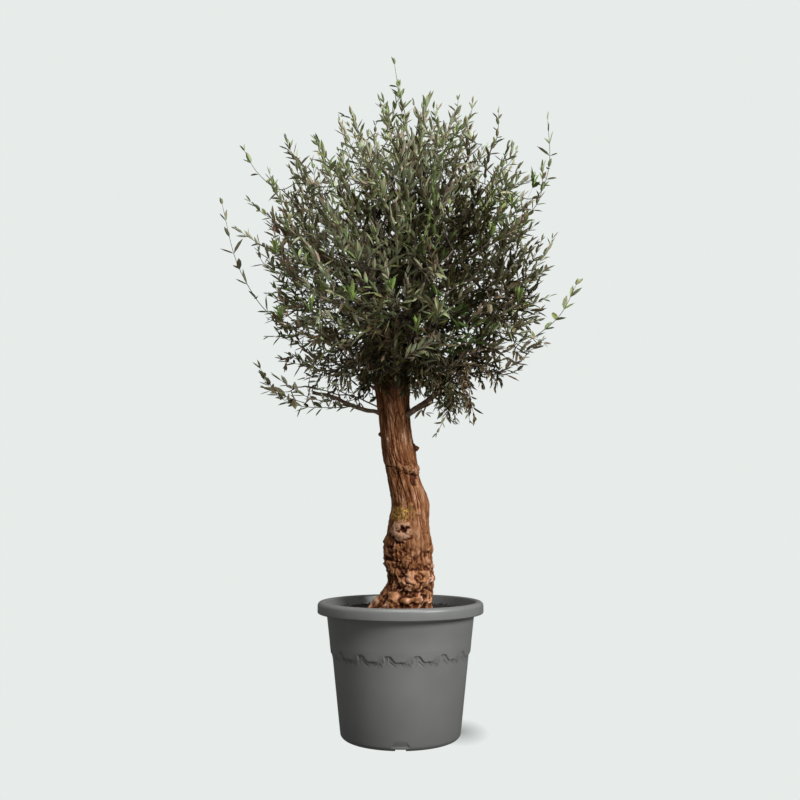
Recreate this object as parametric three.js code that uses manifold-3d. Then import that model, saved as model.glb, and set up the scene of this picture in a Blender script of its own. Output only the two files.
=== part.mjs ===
// A potted olive tree: a gnarled trunk on compost in a round plastic pot, boughs that leave the
// trunk's head and sides, and a rounded crown of foliage masses. Millimetres, +Z up, the origin at
// the middle of the pot's flat underside. -Y is the tree's front and +X its right.
import * as THREE from 'three';
import { mergeVertices } from 'three/addons/utils/BufferGeometryUtils.js';
import Module from 'manifold-3d';

const wasm = await Module();
wasm.setup();

// ---- Driving dimensions -------------------------------------------------------------------

const GAP = 0.3; // left between pieces that touch

const POT = {
  height: 392,
  footRadius: 179, // of the wall, where it meets the foot's rounding
  footRounding: 16,
  wallSlope: 0.113, // how much the wall widens for each millimetre of height
  wallThickness: 5,
  ledgeHeight: 246, // the wall steps out here
  ledgeStep: 4.5,
  rimRadius: 250,
  rimHeight: 34,
  rimRounding: 8,
  mouthRadius: 226,
  floorHeight: 12,
  segments: 32,
};
const DRAIN = { count: 4, firstFacing: -90, width: 31, height: 6.5, innerEnd: 140 };

const COMPOST_TOP = 366;

// The trunk's stations: height, the axis' place across and front to back, and the radius.
const TRUNK_STATIONS = [
  { z: COMPOST_TOP + GAP, x: 6, y: 0, radius: 84 },
  { z: 402, x: 16, y: 0, radius: 76 },
  { z: 442, x: 31, y: -2, radius: 65 },
  { z: 505, x: 27, y: -6, radius: 68 },
  { z: 560, x: 24, y: -8, radius: 68 },
  { z: 625, x: 25, y: -9, radius: 62 },
  { z: 690, x: 28, y: -8, radius: 57 },
  { z: 760, x: 11, y: -4, radius: 53 },
  { z: 830, x: -5, y: 0, radius: 52 },
  { z: 900, x: -15, y: 3, radius: 50 },
  { z: 970, x: -21, y: 4, radius: 51 },
  { z: 1040, x: -26, y: 4, radius: 57 },
  { z: 1075, x: -27, y: 4, radius: 59 },
  { z: 1090, x: -27, y: 4, radius: 55 },
];
const TRUNK_TOP = TRUNK_STATIONS.at(-1);
const TRUNK_SIDES = 20;
const TRUNK_ROWS = 26;

// Swellings on the trunk: the way each faces (degrees, -90 is the front), the height of its middle,
// how far it stands out, and its half-size across and upright.
const BURLS = [
  { name: 'pruning knob', facing: -106, z: 602, out: 14, across: 30, upright: 30 },
  { name: 'left burl', facing: 176, z: 552, out: 13, across: 34, upright: 34 },
  { name: 'lower left burl', facing: 190, z: 505, out: 7, across: 30, upright: 26 },
  { name: 'collar burr', facing: -86, z: 450, out: 19, across: 36, upright: 26 },
  { name: 'back burr', facing: 80, z: 520, out: 14, across: 40, upright: 45 },
  { name: 'right shoulder', facing: 2, z: 690, out: 5, across: 40, upright: 50 },
  { name: 'scar lip', facing: -75, z: 800, out: 6, across: 44, upright: 14 },
  { name: 'left root', facing: 174, z: 366, out: 24, across: 34, upright: 34 },
  { name: 'front left root', facing: -125, z: 366, out: 22, across: 30, upright: 34 },
  { name: 'front root', facing: -80, z: 366, out: 16, across: 26, upright: 36 },
  { name: 'right root', facing: -10, z: 366, out: 15, across: 40, upright: 45 },
  { name: 'back root', facing: 60, z: 366, out: 26, across: 30, upright: 34 },
  { name: 'back left root', facing: 118, z: 366, out: 20, across: 30, upright: 30 },
];

const BOUGH_SIDES = 6;
const BOUGH_ROWS = 5; // a bough that carries another does so at one of these

// The crown: each mass of foliage has a middle and a half-size, and a bough that carries it. A bough
// from the trunk's top starts upright at a facing and a distance from the middle of it, one from the
// trunk's side starts at a facing and a height, and one from another bough starts at a share of it.
const MASSES = [
  { name: 'top', middle: [40, 0, 1850], half: [215, 205, 185],
    bough: { from: 'trunk_top', facing: 90, offset: 0, radii: [16, 8] } },

  { name: 'upper_right', middle: [285, -25, 1730], half: [185, 190, 215],
    bough: { from: 'trunk_top', facing: -5, offset: 38, radii: [16, 8] } },
  { name: 'upper_back_right', middle: [170, 245, 1690], half: [190, 190, 215],
    bough: { from: 'trunk_top', facing: 55, offset: 38, radii: [15, 8] } },
  { name: 'upper_back_left', middle: [-115, 245, 1680], half: [190, 190, 215],
    bough: { from: 'trunk_top', facing: 115, offset: 38, radii: [15, 8] } },
  { name: 'upper_left', middle: [-235, -10, 1670], half: [190, 190, 215],
    bough: { from: 'trunk_top', facing: 175, offset: 38, radii: [16, 8] } },
  { name: 'upper_front_left', middle: [-95, -235, 1670], half: [190, 190, 215],
    bough: { from: 'trunk_top', facing: 235, offset: 38, radii: [15, 8] } },
  { name: 'upper_front_right', middle: [165, -235, 1690], half: [190, 190, 215],
    bough: { from: 'trunk_top', facing: 295, offset: 38, radii: [15, 8] } },

  { name: 'right', middle: [285, -20, 1420], half: [190, 185, 205],
    bough: { from: 'upper_right', share: 0.4, radii: [10, 6] } },
  { name: 'back_right', middle: [165, 285, 1380], half: [185, 180, 200],
    bough: { from: 'upper_back_right', share: 0.4, radii: [10, 6] } },
  { name: 'back_left', middle: [-125, 285, 1375], half: [185, 180, 200],
    bough: { from: 'upper_back_left', share: 0.4, radii: [10, 6] } },
  { name: 'left', middle: [-265, 0, 1385], half: [185, 185, 200],
    bough: { from: 'upper_left', share: 0.4, radii: [10, 6] } },
  { name: 'front_left', middle: [-115, -270, 1380], half: [185, 180, 200],
    bough: { from: 'upper_front_left', share: 0.4, radii: [10, 6] } },
  { name: 'front_right', middle: [165, -275, 1385], half: [185, 180, 200],
    bough: { from: 'upper_front_right', share: 0.4, radii: [10, 6] } },

  { name: 'lower_right', middle: [265, -10, 1195], half: [205, 185, 125],
    bough: { from: 'trunk', facing: -22, z: 945, radii: [12, 7] } },
  { name: 'lower_back', middle: [20, 215, 1190], half: [190, 185, 120],
    bough: { from: 'trunk', facing: 85, z: 985, radii: [12, 6] } },
  { name: 'lower_left', middle: [-235, 20, 1190], half: [190, 185, 125],
    bough: { from: 'trunk', facing: 165, z: 1020, radii: [11, 6] } },
  { name: 'lower_front', middle: [45, -200, 1190], half: [190, 180, 120],
    bough: { from: 'trunk', facing: -80, z: 1020, radii: [12, 6] } },

  { name: 'low_left_spray', middle: [-290, -45, 1030], half: [160, 95, 75],
    bough: { from: 'trunk', facing: 205, z: 965, radii: [7, 4.5] } },
  { name: 'low_right_spray', middle: [165, -75, 1015], half: [115, 100, 115],
    bough: { from: 'lower_right', share: 0.6, radii: [6, 4.5] } },
];

// A bough that was cut back and carries nothing.
const PRUNED_BOUGH = { from: 'trunk', facing: 180, z: 950, end: [-278, 30, 1035], radii: [12, 9] };

// Long shoots that stand out of the crown: the mass each grows from, and the points that it bends
// through up to its tip.
const WHIPS = [
  { mass: 'top', route: [[15, 0, 1960], [-8, 0, 2060], [-21, 0, 2144]] },
  { mass: 'upper_left', route: [[-390, -20, 1690], [-462, -25, 1745], [-509, -30, 1824]] },
  { mass: 'left', route: [[-400, -10, 1270], [-515, -15, 1430], [-580, -20, 1663]] },
  { mass: 'upper_right', route: [[430, -20, 1660], [482, -20, 1770], [483, -10, 1949]] },
  { mass: 'lower_right', route: [[400, -20, 1190], [500, -20, 1270], [565, -10, 1385]] },
  { mass: 'low_left_spray', route: [[-330, -50, 1000], [-395, -50, 1040], [-436, -55, 1102]] },
  { mass: 'low_right_spray', route: [[165, -80, 1000], [140, -80, 950], [108, -80, 890]] },
];

const TWIGS_PER_MASS = 7;
const TWIG = { stemRadius: 5, rootRadius: 4.6, tipRadius: 3.2, sag: 0.16, targetDepth: 0.74 };
const LEAF = { length: 175, width: 60, thickness: 9, widestAt: 0.36, sunk: 1.2 }; // each stands for a spray
// Where on a twig each leaf sits, how far it leans out and which way.
const LEAVES_ON_TWIG = [[0.62, 54, 0], [0.82, 48, 150], [1, 3, 50]];
const LEAF_TRIES = 6;
const WHIP_LEAF = { length: 62, width: 18, thickness: 6, widestAt: 0.36, sunk: 1 };
const WHIP_PAIRS = 2;
const WHIP_ROWS = 4;
const WHIP_LEAN = 32;
const SPACE_MARGIN = 0.035; // kept between two masses, as a share of their size
const OUTER_DEPTH = 1.08; // leaf tips may pass a mass's half-size by this much
const LIMB_CLEARANCE = 3;
const LIMB_SAMPLES = 24;

// ---- Materials ----------------------------------------------------------------------------

const finish = (color, roughness) => new THREE.MeshStandardMaterial({ color, roughness, metalness: 0 });
const FINISHES = {
  pot: finish(0x6b6c6b, 0.6),
  compost: finish(0x2a211c, 0.95),
  bark: finish(0x8a6048, 0.9),
  foliage: finish(0x566150, 0.7),
};

// ---- Solids from three.js geometries ------------------------------------------------------

function toSolid(geometry) {
  const shape = geometry.clone();
  shape.deleteAttribute('normal');
  shape.deleteAttribute('uv');
  const merged = mergeVertices(shape, 1e-4);
  return new wasm.Manifold(new wasm.Mesh({
    numProp: 3,
    vertProperties: Float32Array.from(merged.attributes.position.array),
    triVerts: Uint32Array.from(merged.index.array),
  }));
}

function toGeometry(solid) {
  const mesh = solid.getMesh();
  const geometry = new THREE.BufferGeometry();
  geometry.setAttribute('position', new THREE.BufferAttribute(mesh.vertProperties, 3));
  geometry.setIndex(new THREE.BufferAttribute(mesh.triVerts, 1));
  geometry.computeVertexNormals();
  return geometry;
}

// Moves every vertex of a geometry to the point that place() gives for it.
function reshape(geometry, place) {
  const positions = geometry.attributes.position;
  const vertex = new THREE.Vector3();
  for (let i = 0; i < positions.count; i += 1) {
    vertex.fromBufferAttribute(positions, i);
    const moved = place(vertex);
    positions.setXYZ(i, moved.x, moved.y, moved.z);
  }
  return geometry;
}

// A limb that tapers along a path, from a cylinder whose rings are laid on the path's frames.
function limbGeometry(path, radii, sides, rows) {
  const frames = path.computeFrenetFrames(rows);
  const tube = new THREE.CylinderGeometry(1, 1, rows, sides, rows);
  return reshape(tube, (vertex) => {
    const row = Math.round(vertex.y + rows / 2);
    const radius = THREE.MathUtils.lerp(radii[0], radii[1], row / rows);
    return path.getPointAt(row / rows)
      .addScaledVector(frames.normals[row], vertex.x * radius)
      .addScaledVector(frames.binormals[row], -vertex.z * radius);
  });
}

const limb = (path, radii, sides, rows) => toSolid(limbGeometry(path, radii, sides, rows));

// ---- Pot and compost ----------------------------------------------------------------------

const wallRadius = (z) => POT.footRadius + (z - POT.footRounding) * POT.wallSlope
  + (z > POT.ledgeHeight ? POT.ledgeStep : 0);
const RIM_UNDERSIDE = POT.height - POT.rimHeight;
// The inside follows the wall below the ledge, so the wall above it is a little thicker.
const boreRadius = (z) => POT.footRadius + (z - POT.footRounding) * POT.wallSlope - POT.wallThickness;

// The points of a rounded corner, in degrees about its middle.
function rounding(x, z, radius, from, to, steps) {
  return Array.from({ length: steps + 1 }, (_, i) => {
    const angle = THREE.MathUtils.degToRad(THREE.MathUtils.lerp(from, to, i / steps));
    return new THREE.Vector2(x + radius * Math.cos(angle), z + radius * Math.sin(angle));
  });
}

function lathe(profile) {
  return toSolid(new THREE.LatheGeometry(profile, POT.segments).rotateX(Math.PI / 2));
}

function makePot() {
  const { footRounding, rimRounding, rimRadius, height, ledgeHeight, ledgeStep } = POT;
  const profile = [
    new THREE.Vector2(0, 0),
    ...rounding(POT.footRadius - footRounding, footRounding, footRounding, -90, 0, 3),
    new THREE.Vector2(wallRadius(ledgeHeight), ledgeHeight),
    new THREE.Vector2(wallRadius(ledgeHeight) + ledgeStep, ledgeHeight + ledgeStep),
    new THREE.Vector2(wallRadius(RIM_UNDERSIDE), RIM_UNDERSIDE),
    ...rounding(rimRadius - rimRounding, RIM_UNDERSIDE + rimRounding, rimRounding, -90, 0, 2),
    ...rounding(rimRadius - rimRounding, height - rimRounding, rimRounding, 0, 90, 2),
    new THREE.Vector2(POT.mouthRadius + 6, height),
    new THREE.Vector2(POT.mouthRadius, height - 6),
    new THREE.Vector2(boreRadius(RIM_UNDERSIDE), RIM_UNDERSIDE),
    new THREE.Vector2(boreRadius(POT.floorHeight), POT.floorHeight),
    new THREE.Vector2(0, POT.floorHeight),
  ];
  let pot = lathe(profile);
  for (let i = 0; i < DRAIN.count; i += 1) {
    const length = POT.footRadius - DRAIN.innerEnd + footRounding;
    const channel = new THREE.BoxGeometry(length, DRAIN.width, 2 * DRAIN.height)
      .translate(DRAIN.innerEnd + length / 2, 0, 0)
      .rotateZ(THREE.MathUtils.degToRad(DRAIN.firstFacing + (360 / DRAIN.count) * i));
    pot = pot.subtract(toSolid(channel));
  }
  return pot;
}

function makeCompost() {
  return lathe([
    new THREE.Vector2(0, POT.floorHeight + GAP),
    new THREE.Vector2(boreRadius(POT.floorHeight) - GAP, POT.floorHeight + GAP),
    new THREE.Vector2(boreRadius(RIM_UNDERSIDE) - GAP, RIM_UNDERSIDE),
    new THREE.Vector2(boreRadius(RIM_UNDERSIDE) - GAP, COMPOST_TOP),
    new THREE.Vector2(0, COMPOST_TOP),
  ]);
}

// ---- Trunk --------------------------------------------------------------------------------

const trunkAxis = new THREE.CubicInterpolant(
  TRUNK_STATIONS.map(({ z }) => z),
  TRUNK_STATIONS.flatMap(({ x, y, radius }) => [x, y, radius]),
  3,
  [0, 0, 0],
);

function trunkSurface(facing, z, grown = 0) {
  const level = THREE.MathUtils.clamp(z, TRUNK_STATIONS[0].z, TRUNK_TOP.z);
  const [x, y, bareRadius] = trunkAxis.evaluate(level);
  let radius = bareRadius + grown;
  for (const burl of BURLS) {
    const turn = facing - THREE.MathUtils.degToRad(burl.facing);
    const across = Math.atan2(Math.sin(turn), Math.cos(turn)) * bareRadius / burl.across;
    const upright = (level - burl.z) / burl.upright;
    radius += burl.out * Math.exp(-across * across - upright * upright);
  }
  return new THREE.Vector3(x + radius * Math.cos(facing), y + radius * Math.sin(facing), z);
}

// grown makes the trunk larger all round, to cut what stands against it.
function makeTrunk(grown = 0) {
  const bottom = TRUNK_STATIONS[0].z - grown;
  const top = TRUNK_TOP.z + grown;
  const tube = new THREE.CylinderGeometry(1, 1, 1, TRUNK_SIDES, TRUNK_ROWS);
  return toSolid(reshape(tube, ({ x, y, z }) => {
    const level = THREE.MathUtils.lerp(bottom, top, y + 0.5);
    const onAxis = Math.hypot(x, z) < 0.5;
    if (onAxis) {
      const [axisX, axisY] = trunkAxis.evaluate(THREE.MathUtils.clamp(level, bottom + grown, top - grown));
      return new THREE.Vector3(axisX, axisY, level);
    }
    return trunkSurface(Math.atan2(-z, x), level, grown);
  }));
}

// ---- Boughs -------------------------------------------------------------------------------

const vector = ([x, y, z]) => new THREE.Vector3(x, y, z);

// A bough's path leaves its parent in one direction and bends towards its end.
function boughPath(bough, end, limbs) {
  let start;
  let heading;
  if (bough.from === 'trunk_top') {
    const facing = THREE.MathUtils.degToRad(bough.facing);
    start = new THREE.Vector3(TRUNK_TOP.x, TRUNK_TOP.y, TRUNK_TOP.z + GAP)
      .add(new THREE.Vector3(Math.cos(facing), Math.sin(facing), 0).multiplyScalar(bough.offset));
    heading = new THREE.Vector3(0, 0, 1);
  } else if (bough.from === 'trunk') {
    const facing = THREE.MathUtils.degToRad(bough.facing);
    start = trunkSurface(facing, bough.z, -35);
    heading = new THREE.Vector3(Math.cos(facing), Math.sin(facing), 0.45).normalize();
  } else {
    const parent = limbs.get(bough.from).path;
    start = parent.getPointAt(bough.share);
    heading = end.clone().sub(start).normalize().add(parent.getTangentAt(bough.share)).normalize();
  }
  const bend = start.clone().addScaledVector(heading, start.distanceTo(end) * 0.42);
  return new THREE.QuadraticBezierCurve3(start, bend, end);
}

// Cuts a bough clear of what it grows from, so that it ends just short of that surface.
function makeBough(bough, end, limbs) {
  const path = boughPath(bough, end, limbs);
  let solid = limb(path, bough.radii, BOUGH_SIDES, BOUGH_ROWS);
  if (bough.from === 'trunk') {
    solid = solid.subtract(makeTrunk(GAP));
  } else if (bough.from !== 'trunk_top') {
    const parent = limbs.get(bough.from);
    const around = parent.radii.map((radius) => radius + GAP);
    solid = solid.subtract(limb(parent.path, around, BOUGH_SIDES, BOUGH_ROWS));
  }
  return { solid, path, radii: bough.radii };
}

// ---- Foliage ------------------------------------------------------------------------------

// How far out a point lies in a mass: 0 at its middle and 1 at the edge of its half-size.
function depthIn(mass, point) {
  return Math.hypot(...['x', 'y', 'z'].map((axis, i) => (point[axis] - mass.middle[i]) / mass.half[i]));
}

// A mass keeps to the points that lie deeper in it than in any other mass.
function inSpace(mass, point, edge = 1) {
  const depth = depthIn(mass, point);
  return depth < edge && MASSES.every((other) => other === mass
    || depthIn(other, point) > depth + SPACE_MARGIN);
}

function clearOfTrunk(point, room) {
  const level = THREE.MathUtils.clamp(point.z, TRUNK_STATIONS[0].z, TRUNK_TOP.z);
  const [x, y] = trunkAxis.evaluate(level);
  const facing = Math.atan2(point.y - y, point.x - x);
  const surface = trunkSurface(facing, level);
  const beyond = Math.hypot(point.x - x, point.y - y) - Math.hypot(surface.x - x, surface.y - y);
  return point.z > TRUNK_TOP.z + room || beyond > room;
}

function clearOfLimbs(point, limbs, room) {
  return clearOfTrunk(point, room) && [...limbs.values()].every(({ path, radii }) => (
    path.getSpacedPoints(LIMB_SAMPLES).every((place, i) => place.distanceTo(point)
      > THREE.MathUtils.lerp(radii[0], radii[1], i / LIMB_SAMPLES) + room)));
}

// The three directions of a leaf: along it, across it and out of its face.
function leafFrame(direction, roll) {
  const normal = new THREE.Vector3(0, 0, 1).addScaledVector(direction, -direction.z).normalize()
    .applyAxisAngle(direction, roll);
  return { normal, across: new THREE.Vector3().crossVectors(direction, normal) };
}

function leafPoint(root, direction, across, size, along, aside) {
  return root.clone()
    .addScaledVector(direction, along * size.length)
    .addScaledVector(across, aside * size.width / 2);
}

function leafSolid(root, direction, size, roll) {
  const { normal, across } = leafFrame(direction, roll);
  const start = root.clone().addScaledVector(direction, -size.sunk);
  return toSolid(reshape(new THREE.OctahedronGeometry(1), ({ x, y, z }) => {
    const along = y < 0 ? (y + 1) * size.widestAt : size.widestAt + y * (1 - size.widestAt);
    return leafPoint(start, direction, across, size, along, x)
      .addScaledVector(normal, z * size.thickness / 2);
  }));
}

// A direction that leans away from an axis by an angle, towards one side of it.
function leaning(axis, lean, side) {
  const away = new THREE.Vector3(-axis.y, axis.x, 0.001).cross(axis).normalize()
    .applyAxisAngle(axis, THREE.MathUtils.degToRad(side));
  const angle = THREE.MathUtils.degToRad(lean);
  return axis.clone().multiplyScalar(Math.cos(angle)).addScaledVector(away, Math.sin(angle)).normalize();
}

// The places that a mass's twigs grow to: each is the one of several drawn that lies furthest from
// those already kept, so they spread evenly through the mass.
function drawTargets(mass, count, random) {
  const kept = [];
  while (kept.length < count) {
    let best = null;
    let bestRoom = -1;
    for (let draw = 0; draw < 40; draw += 1) {
      const point = vector(mass.middle.map((at, i) => at + (random() * 2 - 1) * mass.half[i]));
      if (!inSpace(mass, point, TWIG.targetDepth)) continue;
      const room = Math.min(1e6, ...kept.map((other) => other.distanceTo(point)));
      if (room > bestRoom) {
        best = point;
        bestRoom = room;
      }
    }
    if (best) kept.push(best);
  }
  return kept;
}

const nearest = (wood, target) => wood.reduce(
  (near, point) => (point.distanceTo(target) < near.distanceTo(target) ? point : near),
);

// A twig starts at the nearest point of the wood that already grows, and bends up to its target.
function twigPath(wood, target) {
  const start = nearest(wood, target);
  const bend = start.clone().lerp(target, 0.5);
  bend.z -= start.distanceTo(target) * TWIG.sag;
  return new THREE.QuadraticBezierCurve3(start, bend, target);
}

function makeMass(mass, limbs, seed) {
  let draws = seed;
  const random = () => {
    draws = (draws * 1664525 + 1013904223) % 4294967296;
    return draws / 4294967296;
  };
  const { path } = limbs.get(mass.name);
  const heading = path.getTangentAt(1);
  const foot = path.getPointAt(1).addScaledVector(heading, GAP);
  const middle = vector(mass.middle);
  const stemPath = new THREE.LineCurve3(foot, foot.clone().addScaledVector(heading, foot.distanceTo(middle) * 1.15));
  let solid = limb(stemPath, [TWIG.stemRadius, TWIG.rootRadius], 4, 1);
  const wood = stemPath.getSpacedPoints(4).slice(1);

  const fits = (points, room) => points.every((point) => inSpace(mass, point, OUTER_DEPTH)
    && clearOfLimbs(point, limbs, room + LIMB_CLEARANCE));

  // Tries a leaf the way it should lean, and then turned and shortened until it has room.
  const addLeaf = (root, axis, lean, side) => {
    for (let attempt = 0; attempt < LEAF_TRIES; attempt += 1) {
      const direction = leaning(axis, lean + attempt * 6, side + attempt * 47 * random());
      const roll = (random() - 0.5) * Math.PI;
      const size = { ...LEAF, length: LEAF.length * (1 - attempt * 0.05) };
      const { across } = leafFrame(direction, roll);
      const outline = [[0.2, 0], [0.4, -1], [0.4, 1], [0.7, -0.5], [0.7, 0.5], [0.94, 0]]
        .map(([along, aside]) => leafPoint(root, direction, across, size, along, aside));
      if (fits(outline, size.thickness / 2)) {
        solid = solid.add(leafSolid(root, direction, size, roll));
        return;
      }
    }
  };

  const targets = drawTargets(mass, TWIGS_PER_MASS, random)
    .sort((a, b) => a.distanceTo(foot) - b.distanceTo(foot));
  for (const target of targets) {
    const twig = twigPath(wood, target);
    const turn = random() * 360;
    if (!fits(twig.getPoints(4).slice(1), TWIG.rootRadius)) continue;
    solid = solid.add(limb(twig, [TWIG.rootRadius, TWIG.tipRadius], 3, 2));
    const halfway = twig.getPointAt(0.5);
    wood.push(halfway, target);
    for (const [share, lean, side] of LEAVES_ON_TWIG) {
      addLeaf(twig.getPointAt(share), twig.getTangentAt(share), lean, side + turn);
    }
  }

  for (const whip of WHIPS.filter(({ mass: name }) => name === mass.name)) {
    const route = whip.route.map(vector);
    const shoot = new THREE.CatmullRomCurve3([nearest(wood, route[0]), ...route]);
    const length = shoot.getLength();
    const woodEnd = 1 - (WHIP_LEAF.length * 0.7) / length;
    const woody = new THREE.CatmullRomCurve3(
      Array.from({ length: WHIP_ROWS + 1 }, (_, i) => shoot.getPointAt((woodEnd * i) / WHIP_ROWS)),
    );
    solid = solid.add(limb(woody, [TWIG.rootRadius, TWIG.tipRadius], 3, WHIP_ROWS));
    for (let pair = 0; pair < WHIP_PAIRS; pair += 1) {
      const share = 1 - ((pair + 0.2) * WHIP_LEAF.length * 1.1) / length / woodEnd;
      if (share < 0.2) break;
      const ahead = woody.getTangentAt(share);
      for (const sign of [0, 180]) {
        const direction = leaning(ahead, WHIP_LEAN, 90 + sign + pair * 70);
        solid = solid.add(leafSolid(woody.getPointAt(share), direction, WHIP_LEAF, 0));
      }
    }
    solid = solid.add(leafSolid(woody.getPointAt(1), woody.getTangentAt(1), WHIP_LEAF, 0));
  }
  return solid;
}

// ---- The tree -----------------------------------------------------------------------------

const tree = new THREE.Group();

function addNode(name, solid, material) {
  const mesh = new THREE.Mesh(toGeometry(solid), material);
  mesh.name = name;
  tree.add(mesh);
}

addNode('pot', makePot(), FINISHES.pot);
addNode('compost', makeCompost(), FINISHES.compost);
addNode('trunk', makeTrunk(), FINISHES.bark);

const limbs = new Map();
for (const mass of MASSES) {
  const middle = vector(mass.middle);
  const origin = mass.bough.from.startsWith('trunk')
    ? new THREE.Vector3(TRUNK_TOP.x, TRUNK_TOP.y, TRUNK_TOP.z)
    : limbs.get(mass.bough.from).path.getPointAt(mass.bough.share);
  const inward = middle.clone().sub(origin).normalize();
  const end = middle.clone().addScaledVector(inward, -0.4 * Math.min(...mass.half));
  limbs.set(mass.name, makeBough(mass.bough, end, limbs));
}
limbs.set('pruned', makeBough(PRUNED_BOUGH, vector(PRUNED_BOUGH.end), limbs));

for (const [name, bough] of limbs) {
  addNode(`bough_${name}`, bough.solid, FINISHES.bark);
}
MASSES.forEach((mass, i) => {
  addNode(`mass_${mass.name}`, makeMass(mass, limbs, 7 + 31 * i), FINISHES.foliage);
});

export default tree;
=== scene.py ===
import math
from types import SimpleNamespace as Sizes

import bpy
import numpy as np
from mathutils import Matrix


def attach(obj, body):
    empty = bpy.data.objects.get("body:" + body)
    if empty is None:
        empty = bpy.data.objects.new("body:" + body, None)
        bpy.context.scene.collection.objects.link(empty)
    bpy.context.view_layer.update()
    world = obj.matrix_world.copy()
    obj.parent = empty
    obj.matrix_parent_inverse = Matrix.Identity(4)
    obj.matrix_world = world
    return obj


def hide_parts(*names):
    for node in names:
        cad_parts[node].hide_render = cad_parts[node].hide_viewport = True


# A potted olive tree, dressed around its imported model. Metres, +Z up, -Y is the tree's front.

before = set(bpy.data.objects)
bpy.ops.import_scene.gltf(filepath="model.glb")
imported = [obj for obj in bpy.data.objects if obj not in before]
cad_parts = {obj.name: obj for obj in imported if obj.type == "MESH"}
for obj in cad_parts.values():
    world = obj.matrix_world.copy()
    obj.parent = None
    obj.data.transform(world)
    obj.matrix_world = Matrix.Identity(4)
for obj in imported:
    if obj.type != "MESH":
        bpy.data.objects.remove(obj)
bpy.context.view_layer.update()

UP = np.array([0.0, 0.0, 1.0])


def metres(millimetres):
    return np.array(millimetres) / 1000


# ---- Sizes that the solids share, as in the part's source ----

POT = Sizes(
    height=0.392, foot_radius=0.179, foot_rounding=0.016, wall_slope=0.113, wall_thickness=0.005,
    ledge_height=0.246, ledge_step=0.0045, rim_radius=0.250, rim_height=0.034, mouth_radius=0.226,
    floor_height=0.012,
)
COMPOST_TOP = 0.366

# The trunk's stations in millimetres: height, the axis' place across and front to back, and the radius.
TRUNK_STATIONS = metres([
    (366, 6, 0, 84),
    (402, 16, 0, 76),
    (442, 31, -2, 65),
    (505, 27, -6, 68),
    (560, 24, -8, 68),
    (625, 25, -9, 62),
    (690, 28, -8, 57),
    (760, 11, -4, 53),
    (830, -5, 0, 52),
    (900, -15, 3, 50),
    (970, -21, 4, 51),
    (1040, -26, 4, 57),
    (1075, -27, 4, 59),
    (1090, -27, 4, 55),
])
TRUNK_TOP = TRUNK_STATIONS[-1, [1, 2, 0]]

# Each mass of foliage: its middle and half-size in millimetres, and the bough that carries it, which
# leaves the trunk's top at a facing and an offset, the trunk's side at a facing and a height, or
# another mass's bough at a share of its length. The bough's first and last radius come last.
MASS_TABLE = {
    "top": ((40, 0, 1850), (215, 205, 185), ("trunk_top", 90, 0.0, 0.016, 0.008)),
    "upper_right": ((285, -25, 1730), (185, 190, 215), ("trunk_top", -5, 0.038, 0.016, 0.008)),
    "upper_back_right": ((170, 245, 1690), (190, 190, 215), ("trunk_top", 55, 0.038, 0.015, 0.008)),
    "upper_back_left": ((-115, 245, 1680), (190, 190, 215), ("trunk_top", 115, 0.038, 0.015, 0.008)),
    "upper_left": ((-235, -10, 1670), (190, 190, 215), ("trunk_top", 175, 0.038, 0.016, 0.008)),
    "upper_front_left": ((-95, -235, 1670), (190, 190, 215), ("trunk_top", 235, 0.038, 0.015, 0.008)),
    "upper_front_right": ((165, -235, 1690), (190, 190, 215), ("trunk_top", 295, 0.038, 0.015, 0.008)),
    "right": ((285, -20, 1420), (190, 185, 205), ("upper_right", 0, 0.4, 0.010, 0.006)),
    "back_right": ((165, 285, 1380), (185, 180, 200), ("upper_back_right", 0, 0.4, 0.010, 0.006)),
    "back_left": ((-125, 285, 1375), (185, 180, 200), ("upper_back_left", 0, 0.4, 0.010, 0.006)),
    "left": ((-265, 0, 1385), (185, 185, 200), ("upper_left", 0, 0.4, 0.010, 0.006)),
    "front_left": ((-115, -270, 1380), (185, 180, 200), ("upper_front_left", 0, 0.4, 0.010, 0.006)),
    "front_right": ((165, -275, 1385), (185, 180, 200), ("upper_front_right", 0, 0.4, 0.010, 0.006)),
    "lower_right": ((265, -10, 1195), (205, 185, 125), ("trunk", -22, 0.945, 0.012, 0.007)),
    "lower_back": ((20, 215, 1190), (190, 185, 120), ("trunk", 85, 0.985, 0.012, 0.006)),
    "lower_left": ((-235, 20, 1190), (190, 185, 125), ("trunk", 165, 1.020, 0.011, 0.006)),
    "lower_front": ((45, -200, 1190), (190, 180, 120), ("trunk", -80, 1.020, 0.012, 0.006)),
    "low_left_spray": ((-290, -45, 1030), (160, 95, 75), ("trunk", 205, 0.965, 0.007, 0.0045)),
    "low_right_spray": ((165, -75, 1015), (115, 100, 115), ("lower_right", 0, 0.6, 0.006, 0.0045)),
}
MASSES = {name: (metres(middle), metres(half), bough)
          for name, (middle, half, bough) in MASS_TABLE.items()}
PRUNED_BOUGH = ("trunk", 180, 0.950, 0.012, 0.009)
PRUNED_END = (-0.278, 0.030, 1.035)

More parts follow.
